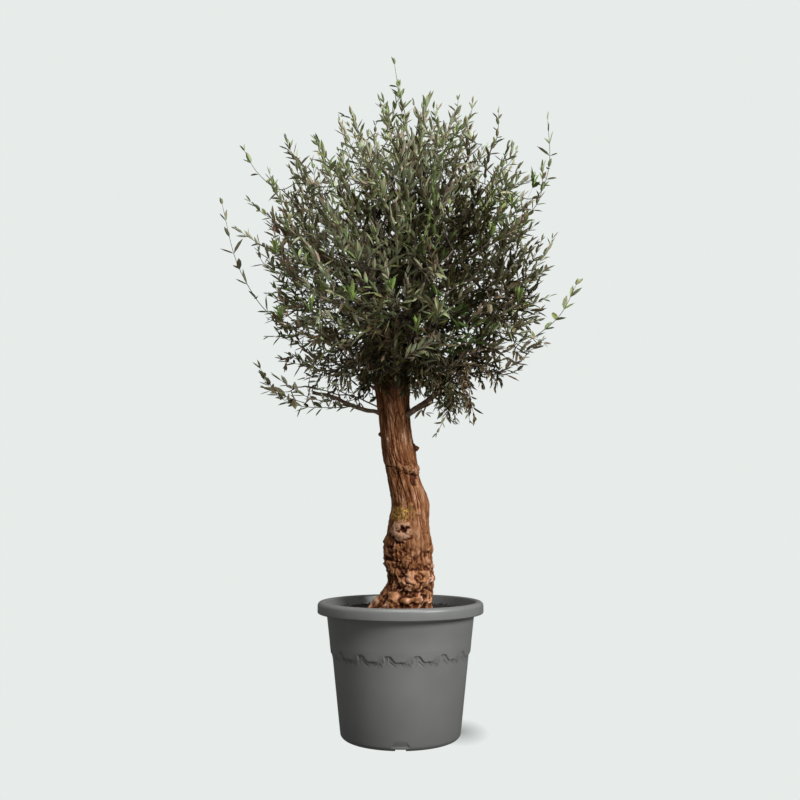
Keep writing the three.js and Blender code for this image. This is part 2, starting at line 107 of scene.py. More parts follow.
# Long shoots that stand out of the crown: the points up to the tip in millimetres, the kind of leaf,
# the leaves' size, how broad they are, and how many millimetres apart their pairs stand.
WHIPS = [
    ([(15, 0, 1960), (-8, 0, 2060), (-21, 0, 2144)], "olive", 1.00, 1.35, 40),
    ([(-390, -20, 1690), (-462, -25, 1745), (-509, -30, 1824)], "olive", 1.15, 1.40, 44),
    ([(-400, -10, 1270), (-515, -15, 1430), (-580, -20, 1663)], "dark", 1.15, 1.25, 56),
    ([(430, -20, 1660), (482, -20, 1770), (483, -10, 1949)], "olive", 1.00, 1.15, 42),
    ([(400, -20, 1190), (500, -20, 1270), (565, -10, 1385)], "olive", 1.15, 1.40, 46),
    ([(-330, -50, 1000), (-395, -50, 1040), (-436, -55, 1102)], "dark", 1.00, 1.20, 30),
    ([(165, -80, 1000), (140, -80, 950), (108, -80, 890)], "dark", 0.72, 1.20, 18),
]

MASS_NODES = [f"mass_{name}" for name in MASSES]
BOUGH_NODES = [f"bough_{name}" for name in MASSES] + ["bough_pruned"]


# ---- Meshes from arrays ----


def add_to_scene(name, data):
    thing = bpy.data.objects.new(name, data)
    bpy.context.collection.objects.link(thing)
    return thing


class Parts:
    """Triangles gathered for one joined mesh."""

    def __init__(self):
        self.vertices, self.triangles, self.slots = [], [], []
        self.count = 0

    def add(self, vertices, triangles, slots=None):
        vertices = np.asarray(vertices, float).reshape(-1, 3)
        triangles = np.asarray(triangles, int).reshape(-1, 3)
        self.vertices.append(vertices)
        self.triangles.append(triangles + self.count)
        self.slots.append(np.zeros(len(triangles), int) if slots is None else np.asarray(slots, int))
        self.count += len(vertices)

    def build(self, name, materials, smooth=True):
        vertices = np.concatenate(self.vertices)
        triangles = np.concatenate(self.triangles)
        mesh = bpy.data.meshes.new(name)
        mesh.from_pydata(vertices, [], triangles)
        mesh.polygons.foreach_set("material_index", np.concatenate(self.slots).astype(np.int32))
        mesh.polygons.foreach_set("use_smooth", np.full(len(triangles), smooth))
        for material in materials:
            mesh.materials.append(material)
        return add_to_scene(name, mesh)


def paint(piece, name, colours):
    """Stores a colour in each vertex, under a name that the material reads."""
    layer = piece.data.color_attributes.new(name, "FLOAT_COLOR", "POINT")
    opaque = np.concatenate([colours, np.ones((*colours.shape[:-1], 1))], -1)
    layer.data.foreach_set("color", opaque.astype(np.float32).ravel())


def full_turn(steps):
    return np.linspace(0, 2 * math.pi, steps, endpoint=False)


def grid_triangles(rows, columns):
    """The triangles of a grid of rows by columns, whose last column meets the first one."""
    row, column = np.meshgrid(np.arange(rows - 1), np.arange(columns), indexing="ij")
    here = row * columns + column
    beside = row * columns + (column + 1) % columns
    above, above_beside = here + columns, beside + columns
    return np.stack([here, beside, above_beside, here, above_beside, above], -1).reshape(-1, 3)


def tube_triangles(rows, sides):
    """The triangles of a closed tube, whose corners are its rings and then its two end points."""
    side = np.arange(sides)
    beside = (side + 1) % sides
    foot = np.full(sides, rows * sides)
    last_ring = (rows - 1) * sides
    return np.concatenate([
        grid_triangles(rows, sides),
        np.stack([foot, beside, side], -1),
        np.stack([foot + 1, last_ring + side, last_ring + beside], -1),
    ])


def repeated(triangles, count, corners):
    """The same triangles for many shapes in a row, each with so many corners."""
    return triangles[None] + (np.arange(count) * corners)[:, None, None]


def unit(vectors):
    return vectors / np.maximum(np.linalg.norm(vectors, axis=-1, keepdims=True), 1e-9)


def tube_rings(paths, radii, sides):
    """Rings round paths of shape (n, rows, 3), with radii of shape (n, rows)."""
    along = unit(np.gradient(paths, axis=1))
    aside = unit(np.cross(along[:, :1], UP + np.array([0.13, 0.07, 0.0])))
    first = unit(np.cross(aside, along))
    second = unit(np.cross(along, first))
    turn = full_turn(sides)[:, None]
    around = first[:, :, None] * np.cos(turn) + second[:, :, None] * np.sin(turn)
    return paths[:, :, None] + around * radii[:, :, None, None]


def add_tubes(parts, paths, radii, sides):
    """Closed tubes along many paths at once, each with the same number of rows."""
    count, rows = radii.shape
    rings = tube_rings(paths, radii, sides).reshape(count, rows * sides, 3)
    vertices = np.concatenate([rings, paths[:, :1], paths[:, -1:]], 1)
    parts.add(vertices, repeated(tube_triangles(rows, sides), count, vertices.shape[1]))


# ---- Noise ----


HASH_FACTORS = (374761393, 668265263, 1440662683)
HASH_MIXER = 1274126177
LOW_BITS = 0xFFFFFFFF


def scatter(cell, seed):
    """An even random number from 0 to 1 for each whole-number cell."""
    mixed = sum(cell[..., axis] * factor for axis, factor in enumerate(HASH_FACTORS))
    mixed = (mixed + seed * HASH_MIXER) & LOW_BITS
    mixed = ((mixed ^ (mixed >> 13)) * HASH_MIXER) & LOW_BITS
    return ((mixed ^ (mixed >> 16)) & 0xFFFF) / 0xFFFF


def eased(share):
    """A share from 0 to 1, with a soft start and end."""
    return share * share * (3 - 2 * share)


def value_noise(points, seed):
    """Smooth noise from 0 to 1 at each point."""
    cell = np.floor(points).astype(np.int64)
    blend = eased(points - cell)
    total = np.zeros(points.shape[:-1])
    for corner in np.ndindex(2, 2, 2):
        weight = np.prod(np.where(corner, blend, 1 - blend), axis=-1)
        total += weight * scatter(cell + np.array(corner), seed)
    return total


def layered_noise(points, seed, layers=3):
    """Noise from 0 to 1 with finer layers on it."""
    total, weight = 0.0, 0.0
    for layer in range(layers):
        share = 0.5 ** layer
        total = total + share * value_noise(points * 2 ** layer, seed + layer)
        weight += share
    return total / weight


def nearest_seed(points, seed):
    """The distance from each point to the nearest of the seeds, one in every cell."""
    cell = np.floor(points).astype(np.int64)
    nearest = np.full(points.shape[:-1], 9.0)
    for offset in np.ndindex(3, 3, 3):
        beside = cell + np.array(offset) - 1
        place = beside + np.stack([scatter(beside, seed + axis) for axis in range(3)], -1)
        nearest = np.minimum(nearest, np.linalg.norm(points - place, axis=-1))
    return nearest


def domes(points, seed):
    """Round lumps that meet in creases: 1 on top of each and 0 between them."""
    return np.sqrt(np.clip(1 - nearest_seed(points, seed) ** 2 * 1.1, 0, 1))


def ridges(noise):
    """Sharp lines where noise passes its middle: 1 on the line and 0 away from it."""
    return 1 - np.abs(2 * noise - 1)


def bump(distance, width):
    return np.exp(-(distance / width) ** 2)


def step_up(value, edge, softness):
    """0 well below an edge and 1 well above it."""
    return 1 / (1 + np.exp(-np.clip((value - edge) / softness, -40, 40)))


def blurred(grid, rows, columns):
    """A grid averaged over a window, which wraps round the columns."""
    wide, tall = range(-columns, columns + 1), range(2 * rows + 1)
    total = sum(np.roll(grid, shift, axis=1) for shift in wide) / len(wide)
    padded = np.pad(total, ((rows, rows), (0, 0)), mode="edge")
    return sum(padded[shift:shift + len(grid)] for shift in tall) / len(tall)


# ---- Materials ----


class Nodes:
    """The nodes of a material or world. An input takes a constant or another node's output, and
    each method gives the output that it adds."""

    def __init__(self, owner):
        owner.use_nodes = True
        self.owner, self.tree = owner, owner.node_tree

    def feed(self, node, inputs):
        for key, value in inputs.items():
            if isinstance(value, bpy.types.NodeSocket):
                self.tree.links.new(value, node.inputs[key])
            else:
                node.inputs[key].default_value = value

    def add(self, kind, output, inputs, **settings):
        node = self.tree.nodes.new(f"ShaderNode{kind}")
        for key, value in settings.items():
            setattr(node, key, value)
        self.feed(node, inputs)
        return node.outputs[output]

    def place(self):
        """The object's own coordinates, in metres."""
        return self.add("TexCoord", "Object", {})

    def painted(self, name):
        """The colours that a mesh stores under a name."""
        return self.add("VertexColor", "Color", {}, layer_name=name)

    def noise(self, scale, detail, stretch=(1, 1, 1), roughness=0.5):
        place = self.add("Mapping", "Vector", {"Vector": self.place(), "Scale": stretch})
        settings = {"Vector": place, "Scale": scale, "Detail": detail, "Roughness": roughness}
        return self.add("TexNoise", "Fac", settings)

    def ramp(self, factor, *stops):
        """A colour that goes through the stops, each of them a factor and its colour."""
        colour = self.add("ValToRGB", "Color", {"Fac": factor})
        elements = colour.node.color_ramp.elements
        while len(elements) < len(stops):
            elements.new(0.5)
        for element, (place, stop) in zip(elements, stops):
            element.position = place
            element.color = (*stop, 1)
        return colour

    def mix(self, factor, first, second, blend="MIX"):
        inputs = {"Factor": factor, "A": first, "B": second}
        return self.add("Mix", "Result", inputs, data_type="RGBA", blend_type=blend)

    def bump(self, height, strength, distance):
        return self.add("Bump", "Normal", {"Height": height, "Strength": strength, "Distance": distance})

    def shade(self, colour, roughness, specular=0.5, **inputs):
        """Gives the shader its inputs, and gives the material."""
        inputs |= {"Base Color": colour, "Roughness": roughness, "Specular IOR Level": specular}
        self.feed(self.tree.nodes["Principled BSDF"], inputs)
        return self.owner


def new_material(name):
    return Nodes(bpy.data.materials.new(name))


def plastic_material():
    """Dark grey plastic, cloudy, with painted light and shade by height: darker towards the foot and
    lightest just under the lip; and painted shade in the frieze's sunk strokes.
    """
    nodes = new_material("pot_plastic")
    tone = nodes.ramp(nodes.noise(9.0, 5.0), (0.30, (0.100, 0.103, 0.100)), (0.72, (0.121, 0.123, 0.118)))
    # Painted light and shade by height: the plastic darkens towards the foot and is lightest just under the
    # lip.
    light_by_height = nodes.ramp(
        nodes.add("SeparateXYZ", "Z", {"Vector": nodes.place()}),
        (0.000, (0.66, 0.66, 0.66)), (0.060, (0.78, 0.78, 0.78)), (0.150, (0.92, 0.92, 0.92)),
        (0.260, (1.06, 1.05, 1.04)), (0.340, (1.25, 1.24, 1.22)), (0.370, (1.08, 1.08, 1.07)),
    )
    lit_by_height = nodes.mix(1.0, tone, light_by_height, "MULTIPLY")
    # Painted shade darkens the frieze's sunk strokes.
    groove_shaded = nodes.mix(nodes.painted("groove_shade"), lit_by_height, (0.030, 0.030, 0.029, 1))
    return nodes.shade(groove_shaded, 0.42, Normal=nodes.bump(nodes.noise(900.0, 2.0), 0.18, 0.0006))


def compost_material():
    nodes = new_material("compost")
    crumbs = nodes.noise(160.0, 6.0)
    colour = nodes.ramp(
        crumbs, (0.30, (0.003, 0.002, 0.0015)), (0.58, (0.009, 0.006, 0.004)), (0.85, (0.034, 0.023, 0.016)),
    )
    return nodes.shade(colour, 0.95, Normal=nodes.bump(crumbs, 0.9, 0.004))


def bark_material():
    """Red-brown bark in broken strips, with painted shade in its cracks and hollows and a painted highlight
    on its raised tops, and with lichen and smooth callus where the mesh's own marks say so: red is how
    raised the surface is, green is lichen and blue is callus."""
    nodes = new_material("bark")
    raised = nodes.add("SeparateColor", "Red", {"Color": nodes.painted("marks")})
    lichen_share, callus_share = (raised.node.outputs[name] for name in ("Green", "Blue"))
    bark = nodes.ramp(
        nodes.noise(42.0, 12.0, (1, 1, 0.26), 0.68),
        (0.32, (0.070, 0.022, 0.006)), (0.44, (0.160, 0.061, 0.018)),
        (0.56, (0.262, 0.122, 0.056)), (0.70, (0.425, 0.268, 0.182)),
    )
    # Painted light and shade from the red mark: dark in the cracks and hollows and pale on the raised tops.
    depth = nodes.ramp(
        raised, (0.05, (0.170, 0.072, 0.028)), (0.35, (0.54, 0.38, 0.25)),
        (0.60, (0.92, 0.87, 0.82)), (0.95, (1.46, 1.63, 2.06)),
    )
    lichen = nodes.ramp(
        nodes.noise(150.0, 3.0), (0.42, (0.110, 0.085, 0.018)), (0.52, (0.300, 0.190, 0.035)),
        (0.60, (0.680, 0.330, 0.070)),
    )
    smooth = nodes.mix(callus_share, bark, (0.222, 0.113, 0.057, 1))
    colour = nodes.mix(lichen_share, nodes.mix(1.0, smooth, depth, "MULTIPLY"), lichen)
    grain = nodes.noise(230.0, 8.0, (1, 1, 0.35))
    return nodes.shade(colour, 0.85, 0.2, Normal=nodes.bump(grain, 0.9, 0.004))


# The dark and the light streaks of each kind of wood besides the trunk's.
WOODS = {
    # Bough bark with painted light, for the boughs that stand in the light.
    "lit_bough_bark": ((0.106, 0.063, 0.041), (0.250, 0.170, 0.116)),
    "cut_wood": ((0.270, 0.080, 0.050), (0.420, 0.160, 0.100)),
    # A darker copy of that bark, as painted shade, for the boughs inside the crown.
    "shaded_bough_bark": ((0.036, 0.023, 0.016), (0.095, 0.066, 0.048)),
    "twig_bark": ((0.050, 0.033, 0.023), (0.125, 0.092, 0.068)),
}


def wood_material(name):
    nodes = new_material(name)
    streaks = nodes.noise(60.0, 5.0)
    dark, light = WOODS[name]
    colour = nodes.ramp(streaks, (0.32, dark), (0.68, light))
    return nodes.shade(colour, 0.8, Normal=nodes.bump(streaks, 0.5, 0.002))


# What a leaf's colour is multiplied by where it is browner, and where it is greener.
LEAF_BROWNER, LEAF_GREENER = (0.90, 0.68, 0.74), (1.10, 1.34, 1.24)


def leaf_material(name, colour, roughness):
    """A dull waxy leaf face, browner and darker in some places and greener and lighter in others."""
    nodes = new_material(name)
    browner, greener = (tuple(np.array(colour) * tint) for tint in (LEAF_BROWNER, LEAF_GREENER))
    return nodes.shade(nodes.ramp(nodes.noise(38.0, 3.0), (0.36, browner), (0.64, greener)), roughness, 0.25)


# ---- Pot and compost ----


# How the lip is rounded: where its underside meets the wall, at its lower and upper edge, and at
# the mouth.
LIP = Sizes(under=0.003, edge=0.004, top=0.0115, mouth=0.007)


def plain_radius(z):
    """The wall's outer radius at a height, without the ledge's step."""
    return POT.foot_radius + (z - POT.foot_rounding) * POT.wall_slope


def arc(x, z, radius, first, last, steps):
    turn = np.radians(np.linspace(first, last, steps + 1))
    return [(x + radius * math.cos(t), z + radius * math.sin(t)) for t in turn]


def straight(start, end, steps):
    """Points from start towards end, without end itself."""
    return [tuple(np.array(start) + (np.array(end) - start) * i / steps) for i in range(steps)]


FRIEZE_UNITS = 16
FRIEZE_PITCH, FRIEZE_LEAD = 0.081, 0.012      # a unit's length, and how much of it is before its rib
FRIEZE_START = math.radians(-77.3)
FRIEZE_BAND = (0.220, 0.272)
# The arch that each unit opens in the upper wall's edge: place along the unit, height over the ledge.
FRIEZE_ARCH = [
    (-0.0105, -0.0035), (-0.0095, 0.0110), (-0.0070, 0.0130), (0.0070, 0.0130), (0.0100, 0.0105),
    (0.0165, 0.0020), (0.0220, -0.0035),
]
FRIEZE_PLAIN = (0.050, 0.068)       # the part of each unit where the ledge is only a soft slope
# The rib and the strokes beside it: their two ends, half their width, and how far out they stand
# as a share of the ledge's step.
FRIEZE_STROKES = [
    ((0.0005, 0.0095), (0.0000, -0.0085), 0.0016, 0.38),
    ((0.0046, -0.0025), (0.0215, -0.0165), 0.0016, -0.34),
    ((0.0350, -0.0025), (0.0425, -0.0150), 0.0016, -0.34),
    ((0.0560, -0.0085), (0.0640, -0.0165), 0.0015, -0.26),
]
# How far the ledge's edge slopes, and how much further where it is soft.
FRIEZE_SLOPE, FRIEZE_SOFT_SLOPE = 0.0042, 0.038


def from_stroke(along, height, start, end):
    """The distance of each place from a stroke, and how far along the stroke it lies."""
    run, rise = end[0] - start[0], end[1] - start[1]
    across, up = along - start[0], height - start[1]
    share = np.clip((across * run + up * rise) / (run * run + rise * rise), 0, 1)
    return np.hypot(across - share * run, up - share * rise), share


def frieze(facing, z):
    """How far the wall stands out at the frieze: 1 on the upper wall and 0 below, with strokes; and how much
    painted shade darkens the sunk strokes."""
    along = ((facing - FRIEZE_START) * FRIEZE_UNITS / (2 * math.pi)) % 1.0 * FRIEZE_PITCH
    along = np.where(along > FRIEZE_PITCH - FRIEZE_LEAD, along - FRIEZE_PITCH, along)
    height = z - POT.ledge_height
    arch = np.array(FRIEZE_ARCH)
    edge = np.interp(along, arch[:, 0], arch[:, 1], left=arch[0, 1], right=arch[0, 1])
    plain = step_up(along, FRIEZE_PLAIN[0], 0.002) * (1 - step_up(along, FRIEZE_PLAIN[1], 0.001))
    proud = eased(np.clip(0.5 + (height - edge) / (FRIEZE_SLOPE + FRIEZE_SOFT_SLOPE * plain), 0, 1))
    groove_shade = 0.0
    for start, end, half_width, out in FRIEZE_STROKES:
        away, share = from_stroke(along, height, start, end)
        stroke = bump(away, half_width) * (1 - 0.5 * share)
        proud = proud + out * stroke
        # The sunk strokes get painted shade along their lines.
        groove_shade = np.maximum(groove_shade, stroke * (out < 0))
    return proud, groove_shade


def lip_profile(wall_top, underside):
    """The lip's section, from the wall under it round to the mouth."""
    rim, top = POT.rim_radius, POT.height
    return [
        *arc(wall_top + LIP.under, underside - LIP.under, LIP.under, 180, 90, 3),
        *arc(rim - LIP.edge, underside + LIP.edge, LIP.edge, -90, 0, 4),
        *arc(rim - LIP.top, top - LIP.top, LIP.top, 0, 90, 6),
        *arc(POT.mouth_radius + LIP.mouth, top - LIP.mouth, LIP.mouth, 90, 180, 4),
    ]


def pot_profile():
    """The pot's section from the middle of its foot round the lip to its floor: radius, height and
    whether the frieze shapes that row."""
    rounding, underside = POT.foot_rounding, POT.height - POT.rim_height
    low, high = FRIEZE_BAND
    wall_top = plain_radius(underside) + POT.ledge_step
    foot = [
        *straight((0.0, 0.0), (POT.foot_radius - rounding, 0.0), 4),
        *arc(POT.foot_radius - rounding, rounding, rounding, -90, 0, 9),
        *[(plain_radius(z), z) for z in np.linspace(rounding + 0.002, 0.034, 9)],
        *straight((plain_radius(0.06), 0.06), (plain_radius(low), low), 2),
    ]
    band = [(plain_radius(z), z) for z in np.linspace(low, high, 42)]
    above_band = (plain_radius(high) + POT.ledge_step, high + 0.002)
    inside = [(plain_radius(z) - POT.wall_thickness, z)
              for z in (underside, COMPOST_TOP - 0.03, 0.20, POT.floor_height)]
    rest = [
        *straight(above_band, (wall_top, underside - LIP.under), 3),
        *lip_profile(wall_top, underside), *inside, (0.0, POT.floor_height),
    ]
    shaped = np.repeat([0.0, 1.0, 0.0], [len(foot), len(band), len(rest)])
    return np.column_stack([foot + band + rest, shaped])


FOOT_CHANNEL = Sizes(half_width=0.0150, height=0.0065, inner_end=0.140, facings=(-90, 0, 90, 180))
# A shallow tapered recess over each channel: its lowest and highest height, half its width there,
# and its depth at the bottom.
FOOT_RECESS = Sizes(low=0.0125, high=0.0290, wide=0.0250, narrow=0.0150, depth=0.0036)


def foot_recess(aside, ahead, z):
    """How far the wall sinks in at the recess over a channel."""
    share = (z - FOOT_RECESS.low) / (FOOT_RECESS.high - FOOT_RECESS.low)
    half_width = FOOT_RECESS.wide + (FOOT_RECESS.narrow - FOOT_RECESS.wide) * share
    inside = step_up(half_width - np.abs(aside), 0.0, 0.0006) * (share > 0) * (share <= 1) * (ahead > 0)
    return FOOT_RECESS.depth * inside * (1 - share)


POT_COLUMNS = 1000


def make_pot(material):
    """The pot: a fine lathe whose foot is notched by four channels, with its frieze in relief."""
    profile, turn = pot_profile(), full_turn(POT_COLUMNS)
    radius, z, shaped = (profile[:, column:column + 1] for column in range(3))
    z = z + 0 * turn
    proud, groove_shade = frieze(turn, z)
    radius = radius + shaped * POT.ledge_step * proud
    outer_wall = np.arange(len(profile))[:, None] < np.argmax(profile[:, 1])
    for facing in np.radians(FOOT_CHANNEL.facings):
        aside, ahead = radius * np.sin(turn - facing), radius * np.cos(turn - facing)
        radius = radius - outer_wall * foot_recess(aside, ahead, z)
        inside = (np.abs(aside) < FOOT_CHANNEL.half_width) & (ahead > FOOT_CHANNEL.inner_end)
        inside &= z < FOOT_CHANNEL.height
        z = np.where(inside, FOOT_CHANNEL.height, z)
    parts = Parts()
    surface = np.stack([radius * np.cos(turn), radius * np.sin(turn), z], -1)
    parts.add(surface, grid_triangles(len(profile), POT_COLUMNS))
    pot = parts.build("pot_shell", [material])
    # The painted shade of the sunk strokes is stored in the mesh for the plastic to read.
    paint(pot, "groove_shade", (shaped * groove_shade)[..., None] * np.ones(3))
    return pot


COMPOST_RINGS, COMPOST_COLUMNS = 46, 160
COMPOST_LUMPS = 0.012           # how high the lumps of the compost's top are
CRUMBS, SMALLEST_CRUMB, LARGEST_CRUMB = 2600, 0.0012, 0.0042
CRUMB_CORNERS = np.array([(1, 0, 0), (-1, 0, 0), (0, 1, 0), (0, -1, 0), (0, 0, 1), (0, 0, -1)], float)
CRUMB_FACES = np.array([
    (0, 2, 4), (2, 1, 4), (1, 3, 4), (3, 0, 4), (2, 0, 5), (1, 2, 5), (3, 1, 5), (0, 3, 5),
])


def add_crumbs(parts, edge, random):
    """Loose crumbs on the compost, most of them small."""
    reach = edge * np.sqrt(random.random(CRUMBS)) - 0.004
    facing = random.random(CRUMBS) * 2 * math.pi
    size = SMALLEST_CRUMB + (LARGEST_CRUMB - SMALLEST_CRUMB) * random.random(CRUMBS) ** 3
    height = COMPOST_TOP - 0.003 + 0.006 * random.random(CRUMBS)
    middle = np.stack([reach * np.cos(facing), reach * np.sin(facing), height], -1)
    shape = CRUMB_CORNERS + (random.random((CRUMBS, 6, 3)) - 0.5) * 0.8
    parts.add(middle[:, None] + shape * size[:, None, None], repeated(CRUMB_FACES, CRUMBS, 6))


def make_compost(material, random):
    """Crumbly compost: a dished and bumpy top with loose crumbs on it."""
    edge = plain_radius(COMPOST_TOP) - POT.wall_thickness - 0.0005
    radius, turn = np.linspace(0.0, edge, COMPOST_RINGS)[:, None], full_turn(COMPOST_COLUMNS)
    x, y = radius * np.cos(turn), radius * np.sin(turn)
    lumps = layered_noise(np.stack([x * 60, y * 60, 0 * x], -1), 3, 4)
    z = COMPOST_TOP + COMPOST_LUMPS * (lumps - 0.5) - 0.002 * (radius / edge) ** 4
    top = np.stack([x, y, z], -1)
    skirt = np.stack([x[-1:], y[-1:], np.full((1, COMPOST_COLUMNS), COMPOST_TOP - 0.05)], -1)
    parts = Parts()
    parts.add(np.concatenate([skirt, top[::-1]]), grid_triangles(COMPOST_RINGS + 1, COMPOST_COLUMNS))
    add_crumbs(parts, edge, random)
    return parts.build("compost_bed", [material])


# ---- Trunk ----


def trunk_axis(z):
    """The axis' x and y and the bare radius at each height, from the stations, smoothed."""
    heights = np.linspace(TRUNK_STATIONS[0, 0], TRUNK_STATIONS[-1, 0], 400)
    window = np.hanning(31)
    values = []
    for column in (1, 2, 3):
        raw = np.interp(heights, TRUNK_STATIONS[:, 0], TRUNK_STATIONS[:, column])
        padded = np.pad(raw, 15, mode="edge")
        values.append(np.interp(z, heights, np.convolve(padded, window / window.sum(), "valid")))
    return values


def turn_between(facing, degrees):
    """How far a facing is from a direction in degrees, in radians from -pi to pi."""
    turn = facing - math.radians(degrees)
    return np.arctan2(np.sin(turn), np.cos(turn))


# Swellings of the trunk: facing in degrees, and in millimetres the height, how far out, and
# half-sizes across and upright.
SWELLINGS = [
    (178, 556, 7, 26, 26),
    (186, 512, 5, 24, 20),
    (-86, 448, 9, 34, 20),
    (-66, 590, 6, 24, 36),
    (80, 520, 14, 40, 45),
    (2, 690, 5, 40, 45),
    (150, 366, 20, 24, 30),
    (-130, 366, 10, 22, 30),
    (-8, 366, 4, 30, 30),
    (60, 366, 26, 30, 36),
    (118, 366, 20, 30, 36),
]
# Lumps with a crease round them, as seen from the front, in tenths of a millimetre: place across,
# height, half-sizes across and upright, and how far out.
FRONT_LUMPS = [
    (445, 4570, 460, 320, 190),
    (-134, 4779, 150, 130, 70),
    (-133, 4111, 222, 160, 130),
    (163, 3985, 180, 120, 120),
    (-359, 5718, 194, 177, 60),
    (-388, 5379, 179, 176, 70),
    (-298, 4983, 164, 176, 60),
    (717, 5659, 151, 295, 50),
    (896, 5467, 108, 106, 60),
    (447, 5364, 135, 147, 50),
    (760, 5130, 120, 147, 45),
    (104, 5100, 149, 205, 45),
    (314, 5600, 210, 177, 50),
    (785, 4082, 134, 174, 60),
    (488, 3995, 178, 145, 70),
    (-430, 4284, 148, 203, 60),
    (0, 7958, 127, 97, 33),
    (212, 7882, 109, 97, 28),
    (394, 7837, 109, 85, 30),
    (106, 7761, 79, 66, 22),
    (545, 7943, 79, 91, 25),
    (-136, 7807, 79, 60, 25),
    (304, 6801, 84, 84, 35),
    (496, 6577, 90, 89, 30),
]
BIG_LUMP = 0
# The spur and the knob that stand out of the outline: facing in degrees, height, how far out, size.
SPURS = [(3, 0.857, 0.014, 0.0110), (179, 0.897, 0.008, 0.0075)]
ROOT_WEDGE = Sizes(facing=190.0, height=0.366, out=0.030, across=0.025, upright=0.056)
KNOB = Sizes(across=0.0064, height=0.604, half_width=0.0345, half_height=0.0375, out=0.012)
# The crumbling pit in the knob: its place from the knob's middle, its half-sizes, and how deep it is.
KNOB_PIT = Sizes(across=0.0045, height=0.0035, half_width=0.0165, half_height=0.0150, depth=0.010)
SCAR = Sizes(height=0.794, slope=-0.20, left_end=-0.014, half_height=0.014, crack_depth=0.005)
HOLLOW = Sizes(across=0.040, height=0.756, half_width=0.011, half_height=0.019, depth=0.008)
LICHEN = Sizes(across=0.001, height=0.656, half_width=0.027, half_height=0.015)
SHADOW = Sizes(across=-0.010, height=0.681, half_width=0.017, half_height=0.0045)
# Where the burr wood of the foot is calm, and where it is darkened with painted shade: facing, height, and
# half-sizes.
CALM = Sizes(facing=-55, height=0.540, half_turn=0.62, half_height=0.055)
BURR = Sizes(facing=-150, height=0.535, half_turn=0.55, half_height=0.055)
# How high each layer of the bark stands out, or how deep it is cut.
BARK = Sizes(
    lumps=0.006, burl=0.016, strands=0.0060, crumple=0.0034, nodules=0.0044, strips=0.0012,
    flakes=0.0020, cracks=0.0028, seams=0.0036, pits=0.0020, burr_pits=0.0030,
)
TRUNK_TWIST = 0.9               # how far the grain turns round the trunk, in radians for each metre
SKIN_RADIUS = 0.055
BURR_TOP = 0.575                # the height where the burr wood of the foot gives way to strips


def trunk_skin(facing, z, across, upright):
    """Places on the trunk in cells of the given size, for noise that follows its surface."""
    twisted = facing + TRUNK_TWIST * (z - 0.4)
    x, y = np.cos(twisted) * SKIN_RADIUS, np.sin(twisted) * SKIN_RADIUS
    return np.stack([x / across, y / across, z / upright], -1)


def wandering(facing, z, size, seed):
    """A noise vector at each place, which pushes regular cells out of line."""
    skin = trunk_skin(facing, z, size, size)
    return np.stack([layered_noise(skin, seed + 10 * axis, 2) - 0.5 for axis in range(3)], -1)


def oval(at, form):
    """A soft oval on the trunk's front: 1 in its middle and 0 away from it."""
    return bump(at.across - form.across, form.half_width) * bump(at.z - form.height, form.half_height)


def facet(at, form):
    """A soft patch on the trunk round a facing: 1 in its middle and 0 away from it."""
    turned = bump(turn_between(at.facing, form.facing), form.half_turn)
    return turned * bump(at.z - form.height, form.half_height)


def bark_texture(at):
    """The relief of the bark alone: broken strips above, tangled burr wood and nodules at the foot."""
    coarse, fine = (wandering(at.facing, at.z, size, seed) for size, seed in ((0.040, 7), (0.013, 8)))

    def skin(across, upright, push=0.0):
        return trunk_skin(at.facing, at.z, across, upright) + push

    def noise(across, upright, seed, layers=3, push=0.0):
        return layered_noise(skin(across, upright, push), seed, layers)

    gnarl = (1 - step_up(at.z + 0.08 * coarse[..., 0], BURR_TOP, 0.016)) * (1 - 0.80 * facet(at, CALM))
    burl = BARK.burl * (noise(0.024, 0.022, 23, 2, coarse) - 0.5)
    strands = BARK.strands * ridges(noise(0.0090, 0.028, 37, 2, 2.4 * coarse)) ** 2
    crumple = BARK.crumple * ridges(noise(0.0070, 0.0085, 33, 2, 1.6 * fine)) ** 2
    nodules = BARK.nodules * domes(skin(0.0120, 0.0110, 5.0 * coarse + 1.5 * fine), 29)
    nodules *= step_up(noise(0.022, 0.020, 31, 2), 0.52, 0.03)
    strips = 6 * noise(0.0095, 0.120, 53, 3, 0.6 * coarse)
    strips = BARK.strips * (np.floor(strips) + step_up(strips % 1.0, 0.5, 0.06))
    flakes = BARK.flakes * domes(skin(0.0075, 0.020, 2.0 * fine), 57)
    flakes *= step_up(noise(0.030, 0.045, 59, 2), 0.52, 0.03) * (1 - 0.9 * step_up(at.z, 0.83, 0.02))
    cracks = BARK.cracks * ridges(noise(0.0085, 0.105, 41, 3, 0.5 * coarse)) ** 8
    cracks *= step_up(noise(0.022, 0.050, 43, 2), 0.49, 0.02) * (1 - 0.6 * gnarl)
    seams = BARK.seams * ridges(noise(0.024, 0.170, 47, 2)) ** 14 * (1 - 0.7 * gnarl)
    pits = (BARK.pits + BARK.burr_pits * gnarl) * (noise(0.006, 0.008, 67) - 0.5)
    relief = BARK.lumps * (noise(0.050, 0.065, 11) - 0.5) + pits - cracks - seams
    relief += gnarl * (burl + strands + crumple + nodules - 0.0050)
    return relief + (1 - 0.75 * gnarl) * (strips + flakes - 0.0045)


